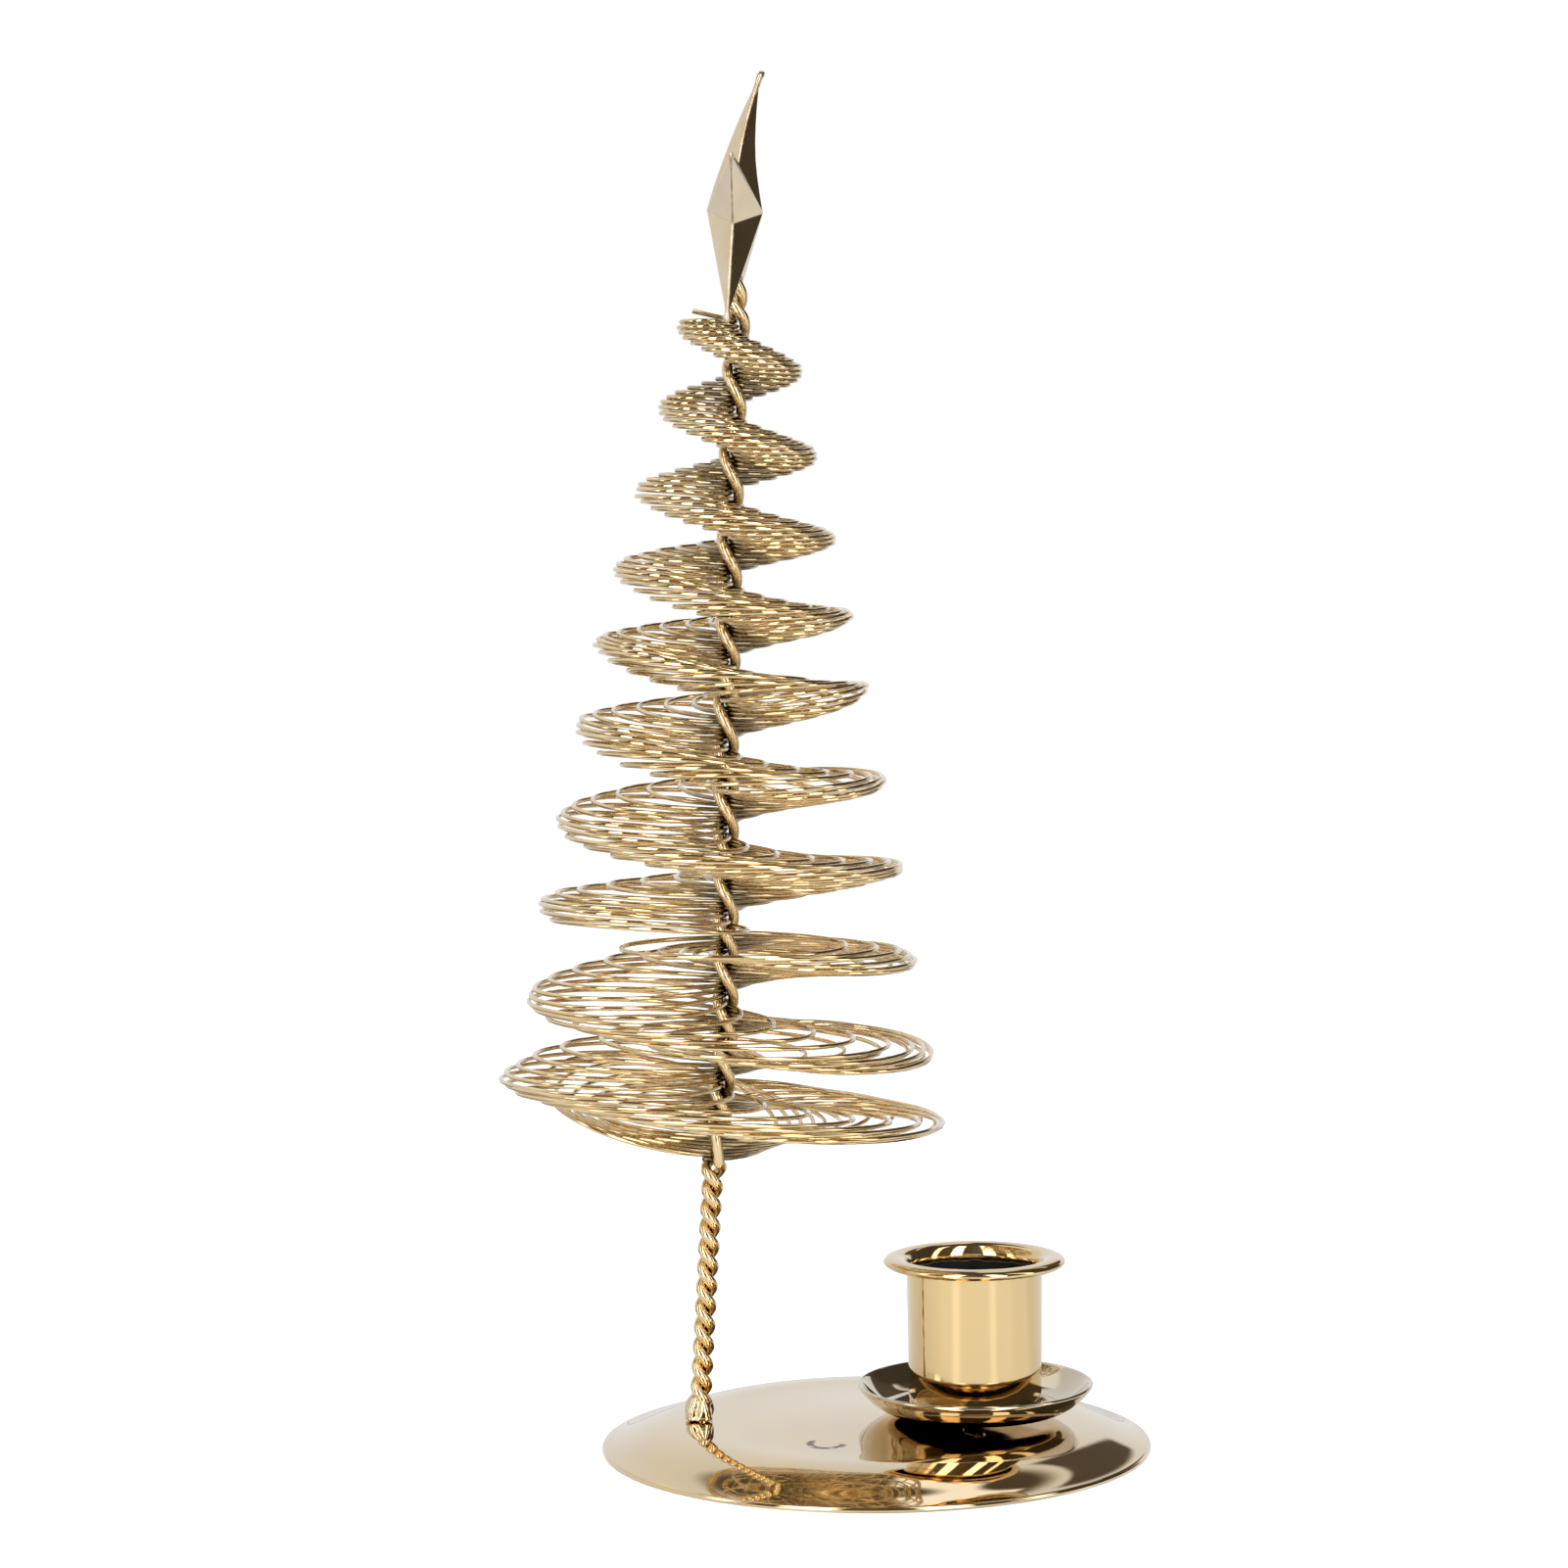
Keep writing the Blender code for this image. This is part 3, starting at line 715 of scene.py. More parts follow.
@dataclass(frozen=True)
class CandleCup:
    """The drip pan, the socket with its rolled lip, and the rivet that holds them to the dish."""

    x: float = 17.3
    seat: float = 0.3  # clearance between two pieces that touch
    pan_radius: float = 20.4
    pan_level: float = 5.95
    pan_flat: float = 12.0
    pan_depth: float = 5.0
    pan_power: float = 2.6
    pan_sheet: float = 0.7
    bore: float = 22.5
    sheet: float = 0.5
    height: float = 26.1
    corner: float = 0.8
    draft: float = 0.25
    lip_reach: float = 3.95
    lip_height: float = 1.9
    lip_mouth: float = 0.6
    shank: float = 1.6
    head_flat: float = 2.2
    head_round: float = 1.2
    head_height: float = 1.1
    tail_radius: float = 2.9
    tail_height: float = 0.9
    plated_edge: tuple[float, float] = (2.1, 2.4)  # depth in the mouth where the plating ends
    bore_colour: Triple = (0.012, 0.011, 0.011)
    bore_roughness: float = 0.45
    bore_metallic: float = 0.2
    steps: int = 192
    rivet_steps: int = 48

    @property
    def socket_underside(self) -> float:
        """Height of the socket's underside, on the pan's floor."""
        return self.pan_level + self.pan_sheet + self.seat

    def pan_outline(self) -> Outline:
        """The pan's section.

        Returns:
            Its closed outline.
        """
        middle = self.pan_level + self.pan_sheet / 2.0
        share = np.linspace(0.0, 1.0, 34)[1:]
        flat = np.linspace(self.shank + self.seat, self.pan_flat, 8)
        wall = self.pan_flat + (self.pan_radius - self.pan_sheet / 2.0 - self.pan_flat) * share
        rise = middle + (self.pan_depth - self.pan_sheet) * share**self.pan_power
        path = [(r, middle) for r in flat] + list(zip(wall, rise))
        return sheet_outline(path, self.pan_sheet)

    def socket_outline(self) -> Outline:
        """The socket's section: its floor, its wall and its rolled lip.

        Returns:
            Its closed outline.
        """
        half = self.sheet / 2.0
        wall = self.bore / 2.0 + half
        foot = wall - self.draft
        base = self.socket_underside + half
        lip_middle = self.socket_underside + self.height - self.lip_height / 2.0
        lip_half = (self.lip_reach - self.lip_mouth) / 2.0
        corner = (foot - self.corner, base + self.corner)
        share = np.linspace(0.0, 1.0, 16)[1:]
        upright = corner[1] + (lip_middle - self.lip_height - corner[1]) * share
        path = [(r, base) for r in np.linspace(self.shank + self.seat, corner[0], 8)[:-1]]
        path += arc(corner, (self.corner, self.corner), np.linspace(-90.0, 0.0, 9))
        path += zip(foot + self.draft * share, upright)
        path += [
            (wall + out * self.lip_mouth, lip_middle - down * self.lip_height)
            for out, down in ((0.05, 0.62), (0.25, 0.3))
        ]
        path += arc(
            (wall + self.lip_mouth + lip_half, lip_middle),
            (lip_half, self.lip_height / 2.0 - half),
            np.arange(165.0, -101.0, -8.0),
        )
        return sheet_outline(path, self.sheet)

    def rivet_outline(self, dish: Dish) -> Outline:
        """Section of the rivet: flat-topped head, shank and set tail.

        Args:
            dish: The dish that it goes through.

        Returns:
            Its outline, from the axis to the axis.
        """
        head = self.socket_underside + self.sheet + self.seat
        tail = float(dish.top(self.x + self.tail_radius)) - dish.sheet - self.seat
        top = head + self.head_height
        rounding = (self.head_round, self.head_height)
        return [
            (0.0, top),
            (self.head_round, top),
            *arc((self.head_flat, head), rounding, np.linspace(90.0, 0.0, 9)),
            (self.shank, head),
            (self.shank, tail),
            *arc((0.0, tail), (self.tail_radius, self.tail_height), np.linspace(0.0, -90.0, 9)),
        ]

    def build(self, bench: Bench, dish: Dish) -> None:
        """Makes the pan, the socket and the rivet.

        Args:
            bench: Where the pieces are put together.
            dish: The dish that they stand on.
        """
        pan, socket, rivet = (
            finish.surface(bench.effects) for finish in (PAN_FINISH, SOCKET_FINISH, RIVET_FINISH)
        )
        self.bare_bore(socket, bench)
        section = self.rivet_outline(dish)
        for name, outline, steps, surface, slot, node in (
            ("spun_drip_pan", self.pan_outline(), self.steps, pan, Slot.SHEET, "drip_pan"),
            ("taper_socket", self.socket_outline(), self.steps, socket, Slot.PALE_SHEET, "candle_socket"),
            ("socket_rivet_set", section, self.rivet_steps, rivet, Slot.SHEET, "socket_rivet"),
        ):
            points, faces = revolved(outline, steps, self.x)
            bench.piece(bench.mesh(name, points, faces), surface, slot, node)

    def bare_bore(self, surface: Surface, bench: Bench) -> None:
        """Leaves the inside of the socket bare and dark, where the plating didn't reach.

        Args:
            surface: The socket's finish.
            bench: Where the pieces are put together.
        """
        x, y, z = surface.split("Object")
        away = surface.distance(x - (bench.middle_x + self.x * MM), y)
        inside = surface.math("LESS_THAN", away, (self.bore / 2.0 + self.sheet * 0.4) * MM)
        mouth = self.socket_underside + self.height
        high, low = ((mouth - depth) * MM for depth in self.plated_edge)
        bare = inside * surface.fade(surface.noise(350.0, 3.0) * 0.0012 + z, high, low)
        clean = 1.0 - bare
        colour = surface.blend(bare, surface.worn("Base Color"), self.bore_colour)
        roughness, metallic = (Reading(surface, surface.worn(key)) for key in ("Roughness", "Metallic"))
        surface.dress(
            {
                "Base Color": colour,
                "Roughness": roughness * clean + bare * self.bore_roughness,
                "Metallic": metallic * clean + bare * self.bore_metallic,
            }
        )


class WireDrawer:
    """Draws a round wire along a path with Geometry Nodes."""

    def __init__(self) -> None:
        """Builds the node tree."""
        self.tree = self._tree()

    @staticmethod
    def _tree() -> bpy.types.NodeTree:
        """The tree: a path of edges becomes a curve, swept with a circle and capped.

        Returns:
            The tree.
        """
        tree = bpy.data.node_groups.new("drawn_wire", "GeometryNodeTree")
        for name, way, kind in (
            ("Path", "INPUT", "NodeSocketGeometry"),
            ("Diameter", "INPUT", FLOAT_SOCKET),
            ("Sides", "INPUT", "NodeSocketInt"),
            ("Finish", "INPUT", "NodeSocketMaterial"),
            ("Wire", "OUTPUT", "NodeSocketGeometry"),
        ):
            tree.interface.new_socket(name, in_out=way, socket_type=kind)
        sheet = NodeSheet(tree)
        given = sheet.add("NodeGroupInput").outputs
        radius = sheet.math("MULTIPLY", given["Diameter"], 0.5)
        ring = {"Resolution": given["Sides"], "Radius": radius}
        profile = sheet.add("GeometryNodeCurvePrimitiveCircle", ring).outputs[0]
        wire = given["Path"]
        for kind, inputs in (
            ("GeometryNodeMeshToCurve", {}),
            ("GeometryNodeCurveToMesh", {"Profile Curve": profile, "Fill Caps": True}),
            ("GeometryNodeSetShadeSmooth", {}),
            ("GeometryNodeRealizeInstances", {}),
            ("GeometryNodeSetMaterial", {"Material": given["Finish"]}),
            ("NodeGroupOutput", {}),
        ):
            node = sheet.add(kind, {0: wire, **inputs})
            wire = node.outputs[0] if node.outputs else None
        return tree

    def draw(
        self, name: str, path: np.ndarray, diameter: float, sides: int, surface: Surface
    ) -> bpy.types.Mesh:
        """Draws one wire.

        Args:
            name: Name of the mesh.
            path: Centre line, in metres.
            diameter: Thickness of the wire, in millimetres.
            sides: Sides of its round section.
            surface: Its finish.

        Returns:
            A plain closed mesh, in metres.
        """
        line = bpy.data.meshes.new(name + "_path")
        line.from_pydata(path.tolist(), [(i, i + 1) for i in range(len(path) - 1)], [])
        holder = stand(name + "_path", line)
        modifier = holder.modifiers.new("wire", "NODES")
        modifier.node_group = self.tree
        values = {"Diameter": diameter * MM, "Sides": sides, "Finish": surface.material}
        for item in self.tree.interface.items_tree:
            if item.name in values:
                modifier[item.identifier] = values[item.name]
        graph = bpy.context.evaluated_depsgraph_get()
        mesh = bpy.data.meshes.new_from_object(holder.evaluated_get(graph), depsgraph=graph)
        mesh.name = name
        holder.modifiers.remove(modifier)
        bpy.data.objects.remove(holder)
        bpy.data.meshes.remove(line)
        return mesh


@dataclass(frozen=True)
class Spread:
    """A value that runs from one end of a length of coil to the other, and may swell between."""

    top: float
    bottom: float
    swell: float = 0.0

    def at(self, share: np.ndarray) -> np.ndarray:
        """The value at a share of the way down."""
        return self.top + (self.bottom - self.top) * share + self.swell * 4.0 * share * (1.0 - share)


@dataclass(frozen=True)
class CoilLength:
    """One length of close-wound coil, and how its loops lie. Rises and leans are slopes."""

    piece: str
    node: str
    first_turn: float
    last_turn: float
    seed: int
    radius: Spread
    width: Spread
    rise: Spread
    lean_x: Spread
    lean_y: Spread
    lean_y_cos: Spread
    lean_y_sin: Spread
    phase: float
    lift: float = 0.0


@dataclass(frozen=True)
class Sag:
    """How far the loops at one turn have sagged or been bent from their rule, as the photo shows."""

    turn: float
    height: float
    radius: float
    rise: float
    tilt: float
    heading: float


@dataclass(frozen=True)
class Tree:
    """The twisted stem and the two lengths of close-wound coil that it clamps.

    Turns are counted downwards. At a turn the loops fan out in one direction, and that direction
    winds once round the stem in each turn.
    """

    start: float = 0.235
    join: float = 7.44
    end: float = 10.38
    top: float = 197.65
    pitch: float = 14.168
    pitch_growth: float = 0.0405
    coil_wire: float = 0.82
    core_wire: float = 1.9
    core_gap: float = 0.04
    bare_pitch: float = 6.9
    crown_pitch: float = 9.6
    core_top: float = 202.4
    clasp: float = 4.5  # height over which the stem's wires close up past the coil
    stem_sides: int = 16
    coil_sides: int = 8
    loop_steps: int = 40
    uneven_radius: float = 0.006
    uneven_rise: float = 0.004
    free_end: Triple = (-7.6, -0.7, 1.8)
    tail_steps: tuple[float, ...] = (0.8, 1.6, 2.4)
    # colour of the painted shade round the stem, where the wires shade each other
    stem_shade_colour: Triple = (0.14, 0.11, 0.06)
    stem_shade_from: tuple[float, float] = (44.5, 47.5)  # heights over which the painted shade sets in
    bundle_from: float = 9.964  # turn from which the last loops are bunched
    bundle_pack: float = 0.308
    bundle_radius: float = 1.33
    bundle_rise: float = 0.421
    bundle_tilt: float = -0.19
    bundle_slim: float = 0.2
    bundle_fold: float = 0.12  # turns over which they fold down
    sway_heights: tuple[float, ...] = (4.7, 26.0, 47.85, 64.2, 95.0, 125.0, 139.4, 167.8, 183.3, 195.0, 204.6)
    sway: tuple[float, ...] = (-30.6, -29.2, -27.7, -25.9, -24.95, -24.6, -24.1, -23.2, -22.5, -21.9, -22.3)
    upper: CoilLength = CoilLength(
        "coiled_branches_upper", "branch_coil_upper", first_turn=0.2, last_turn=7.44, seed=3,
        radius=Spread(4.37, 15.784, 0.353), width=Spread(1.209, 1.233), rise=Spread(-0.022, 0.075, 0.054),
        lean_x=Spread(-0.06, -0.022, -0.005), lean_y=Spread(0.031, 0.025, 0.002),
        lean_y_cos=Spread(0.001, 0.0, 0.018), lean_y_sin=Spread(-0.014, -0.021), phase=-14.973,
    )
    lower: CoilLength = CoilLength(
        "coiled_branches_lower", "branch_coil_lower", first_turn=7.44, last_turn=10.05, seed=8,
        radius=Spread(15.728, 19.411, -0.01), width=Spread(1.276, 1.284), rise=Spread(0.002, 0.128, -0.071),
        lean_x=Spread(-0.007, -0.048, -0.023), lean_y=Spread(0.056, 0.038, -0.015),
        lean_y_cos=Spread(-0.063, -0.041, 0.091), lean_y_sin=Spread(-0.001, 0.037, 0.015), phase=-1.393,
        lift=0.254,
    )
    sags: tuple[Sag, ...] = (
        Sag(0.0, height=0.105, radius=0.559, rise=-0.009, tilt=0.012, heading=-4.0),
        Sag(1.2, height=-0.072, radius=-0.037, rise=0.001, tilt=0.059, heading=2.19),
        Sag(2.4, height=-0.495, radius=0.137, rise=-0.033, tilt=0.021, heading=7.17),
        Sag(3.6, height=-0.059, radius=0.163, rise=-0.001, tilt=0.045, heading=-2.92),
        Sag(4.8, height=0.483, radius=0.036, rise=0.053, tilt=-0.004, heading=2.41),
        Sag(6.0, height=0.213, radius=0.191, rise=-0.029, tilt=0.056, heading=5.05),
        Sag(7.2, height=0.058, radius=0.415, rise=-0.017, tilt=-0.059, heading=2.11),
        Sag(8.3, height=-0.035, radius=0.041, rise=0.006, tilt=0.004, heading=2.87),
        Sag(9.3, height=-0.016, radius=0.62, rise=-0.028, tilt=-0.034, heading=0.4),
        Sag(10.5, height=3.941, radius=0.36, rise=-0.107, tilt=-0.004, heading=3.12),
    )

    def axis_x(self, height: np.ndarray | float) -> np.ndarray:
        """Place of the stem's axis along X at a height."""
        return smooth_curve(self.sway_heights, self.sway, height)

    def sagged(self, name: str, turn: np.ndarray) -> np.ndarray:
        """How far a measure of the loops is from its rule after so many turns."""
        return np.interp(turn, [sag.turn for sag in self.sags], [getattr(sag, name) for sag in self.sags])

    def crossing(self, turn: np.ndarray, coil: CoilLength) -> np.ndarray:
        """Height where a coil crosses the stem after so many turns."""
        rule = self.top - self.pitch * turn - self.pitch_growth * turn**2 + coil.lift
        return rule + self.sagged("height", turn)

    def heading(self, turn: np.ndarray, coil: CoilLength) -> np.ndarray:
        """Direction of the fan. The last loops are packed closer together.

        Args:
            turn: Turns from the top.
            coil: The length of coil.

        Returns:
            The direction, in radians from +X.
        """
        packed = np.minimum(turn, self.bundle_from)
        packed = packed + np.maximum(turn - self.bundle_from, 0.0) * self.bundle_pack
        bent = np.radians(90.0 + coil.phase + self.sagged("heading", turn))
        return bent + FULL_TURN * packed

    def crossings(self) -> list[float]:
        """Turns at which the close-wound coil crosses the stem, one wire's thickness apart.

        Returns:
            The turns, from the top down.
        """
        found = [self.start]
        while found[-1] < self.end:
            found.append(found[-1] + self.coil_wire / (self.pitch + 2.0 * self.pitch_growth * found[-1]))
        return found[:-1]

    def core_path(self, half_turn: float, bottom: float) -> np.ndarray:
        """Centre line of one of the stem's two wires, which wind round the coil with its fan.

        Args:
            half_turn: 0 for the inner wire, pi for the outer one.
            bottom: Height of its lower end.

        Returns:
            Points of the centre line.
        """
        spans = (
            (self.lower, np.linspace(self.end + 0.02, self.join + 0.05, 90)),
            (self.upper, np.linspace(self.join - 0.05, self.start - 0.04, 240)),
        )
        heights = np.concatenate([self.crossing(turns, coil) for coil, turns in spans])
        headings = np.concatenate([self.heading(turns, coil) for coil, turns in spans])
        low, high = heights[0], heights[-1]
        z = np.concatenate(
            [np.arange(bottom, low, 0.25), np.arange(low, high, 0.45), np.arange(high, self.core_top, 0.3)]
        )
        below, above = np.maximum(low - z, 0.0), np.maximum(z - high, 0.0)
        turn = half_turn + np.interp(z, heights, headings)
        turn = turn + FULL_TURN * (below / self.bare_pitch - above / self.crown_pitch)
        clamped, bare = (self.core_wire + self.coil_wire) / 2.0, (self.core_wire + self.core_gap) / 2.0
        radius = clamped + (bare - clamped) * smoothstep(0.0, self.clasp, below + above)
        return np.stack([self.axis_x(z) + radius * np.cos(turn), radius * np.sin(turn), z], axis=1)

    @staticmethod
    def uneven(draws: np.random.Generator, size: float, loops: np.ndarray) -> np.ndarray:
        """Small differences between the loops, as a smooth curve.

        Args:
            draws: Where the random numbers come from.
            size: How large the differences are.
            loops: Places along the coil, counted in loops.

        Returns:
            The difference at each place.
        """
        count = round(float(loops[-1])) + 2
        return smooth_curve(np.arange(count) - 0.5, draws.normal(0.0, size, count), loops)

    def loop_points(self, coil: CoilLength, crossings: list[float]) -> np.ndarray:
        """Centre line of one length of coil.

        Args:
            coil: The length of coil.
            crossings: Turns at which it crosses the stem.

        Returns:
            Points of the centre line.
        """
        count = len(crossings) - 1
        loops = np.arange(count * self.loop_steps + 1) / self.loop_steps
        turn = np.interp(loops, np.arange(count + 1), crossings)
        share = np.clip((turn - coil.first_turn) / (coil.last_turn - coil.first_turn), 0.0, 1.0)
        last = np.clip((turn - self.bundle_from) / (self.end - self.bundle_from), 0.0, 1.0)
        folded = smoothstep(self.bundle_from, self.bundle_from + self.bundle_fold, turn)
        draws = np.random.default_rng(coil.seed)
        heading = self.heading(turn, coil)
        cos, sin = np.cos(heading), np.sin(heading)
        radius = coil.radius.at(share) + self.sagged("radius", turn) + self.bundle_radius * last
        radius = radius * (1.0 + self.uneven(draws, self.uneven_radius, loops))
        out = radius * (1.0 - np.cos(FULL_TURN * loops))
        width = coil.width.at(share) * (1.0 - self.bundle_slim * folded)
        along = radius * width * np.sin(FULL_TURN * loops)
        x, y = out * cos - along * sin, out * sin + along * cos
        tilt = coil.lean_y.at(share) + coil.lean_y_cos.at(share) * cos + coil.lean_y_sin.at(share) * sin
        tilt = tilt + self.sagged("tilt", turn) + self.bundle_tilt * folded
        rise = coil.rise.at(share) + self.sagged("rise", turn) + self.bundle_rise * last
        rise = rise + self.uneven(draws, self.uneven_rise, loops)
        crossing = self.crossing(turn, coil)
        z = crossing + rise * out + coil.lean_x.at(share) * x + tilt * y
        return np.stack([self.axis_x(crossing) + x, y, z], axis=1)

    def coil_paths(self) -> tuple[np.ndarray, np.ndarray]:
        """Centre lines of both lengths of coil, with their ends.

        Returns:
            The upper one, which starts with a straight free end, and the lower one, with a tail.
        """
        crossings = self.crossings()
        split = next(i for i, turn in enumerate(crossings) if turn >= self.join)
        upper = self.loop_points(self.upper, crossings[:split])
        lower = self.loop_points(self.lower, crossings[split:])
        free_end = [upper[0] + np.array(self.free_end) * share for share in (1.0, 0.75, 0.5, 0.25)]
        step = (lower[-1] - lower[-2]) / np.linalg.norm(lower[-1] - lower[-2])
        tail = [lower[-1] + step * reach for reach in self.tail_steps]
        return np.concatenate([free_end, upper]), np.concatenate([lower, tail])

    def paint_stem_shade(self, surface: Surface, bench: Bench, near: float, far: float) -> None:
        """Paints shade on the brass round the stem, where the wires shade each other, with more of it towards
        the back.

        Args:
            surface: The wire's finish.
            bench: Where the pieces are put together.
            near: Distance from the stem's axis that is wholly dark.
            far: Distance that has no painted shade.
        """
        x, y, z = surface.split("Object")
        low, high = self.sway_heights[3], self.sway_heights[9]  # the stem's axis is about straight here
        low_x, high_x = float(self.axis_x(low)), float(self.axis_x(high))
        slope = (high_x - low_x) / (high - low)
        off = x - (z * slope + (bench.middle_x + (low_x - slope * low) * MM))
        # painted shade: darkest at the stem's axis, and reaching further at the back than at the front
        away = y * -0.4 + surface.distance(off, y) + surface.noise(260.0, 2.0) * 0.003
        bottom, top = self.stem_shade_from
        dark = surface.fade(away, far * MM, near * MM) * surface.fade(z, bottom * MM, top * MM)
        stem_shaded = surface.blend(dark * 0.9, surface.worn("Base Color"), self.stem_shade_colour)
        surface.dress({"Base Color": stem_shaded})

    def build(self, bench: Bench, foot: float) -> None:
        """Makes the stem's two wires and the two lengths of coil.

        Args:
            bench: Where the pieces are put together.
            foot: Height of the stem's foot.
        """
        drawer = WireDrawer()
        stem, coil = (finish.surface(bench.effects) for finish in (STEM_FINISH, COIL_FINISH))
        # painted shade round the stem, on the stem's wires and on the coil
        self.paint_stem_shade(stem, bench, 0.0, 3.5)
        self.paint_stem_shade(coil, bench, 2.0, 15.0)
        inner, outer = self.core_path(0.0, foot), self.core_path(math.pi, foot)
        upper, lower = self.coil_paths()
        for name, path, wire, sides, surface, node in (
            ("twisted_wire_inner", inner, self.core_wire, self.stem_sides, stem, "core_wire_inner"),
            ("twisted_wire_outer", outer, self.core_wire, self.stem_sides, stem, "core_wire_outer"),
            (self.upper.piece, upper, self.coil_wire, self.coil_sides, coil, self.upper.node),
            (self.lower.piece, lower, self.coil_wire, self.coil_sides, coil, self.lower.node),
        ):
            mesh = drawer.draw(name, bench.metres(path), wire, sides, surface)
            bench.piece(mesh, surface, Slot.WIRE, node)


@dataclass(frozen=True)
class Bead:
    """A lumpy bead of solder that has run round a joint."""

    name: str
    node: str
    centre: Triple
    radius: float
    height: float
    seed: int
    pull: tuple[float, float] = (0.0, 0.0)  # how far its top leans along X and Y
    flange: float = 0.0
    groove: float = 0.0
    groove_side: float = 262.0
    taper: float = 0.22
    lumps: int = 7
    lump_size: float = 0.055
    rings: int = 28
    sides: int = 56

    def build(self, bench: Bench, surface: Surface) -> None:
        """Makes the bead.

        Args:
            bench: Where the pieces are put together.
            surface: The solder's finish.
        """
        draws = np.random.default_rng(self.seed)
        around = np.linspace(0.0, FULL_TURN, self.sides, endpoint=False)[:, None]
        share = np.linspace(0.0, 1.0, self.rings + 1)
        level = -np.cos(math.pi * share)
        body = np.abs(np.sin(math.pi * share)) ** 0.55
        lumps = np.zeros((self.sides, self.rings + 1))
        for _ in range(self.lumps):
            size, waves = draws.uniform(0.5, 1.0), int(draws.integers(1, 6))
            phase, twist = draws.uniform(0.0, 6.28), draws.uniform(1.0, 5.0)
            lumps += size * np.sin(waves * around + phase + twist * level)
        reach = body * (1.0 - self.taper * level) * (1.0 + self.lump_size * lumps)
        reach += self.flange * np.exp(-(((level + 0.8) / 0.12) ** 2))
        off = around - math.radians(self.groove_side) - 0.25 * level
        off = np.remainder(off + math.pi, FULL_TURN) - math.pi
        reach -= self.groove * body * np.exp(-((off / 0.2) ** 2))
        reach = np.maximum(reach, 0.0) * self.radius
        reach[:, [0, -1]] = 0.0
        x = self.centre[0] + reach * np.cos(around) + self.pull[0] * level
        y = self.centre[1] + reach * np.sin(around) + self.pull[1] * level
        points = np.broadcast_arrays(x, y, self.centre[2] + level * self.height / 2.0)
        points = np.stack(points, axis=-1).reshape(-1, 3)
        mesh = bench.mesh(self.name, points, grid_faces(self.sides, self.rings + 1, closed=False))
        bench.piece(mesh, surface, Slot.SOLDER, self.node)


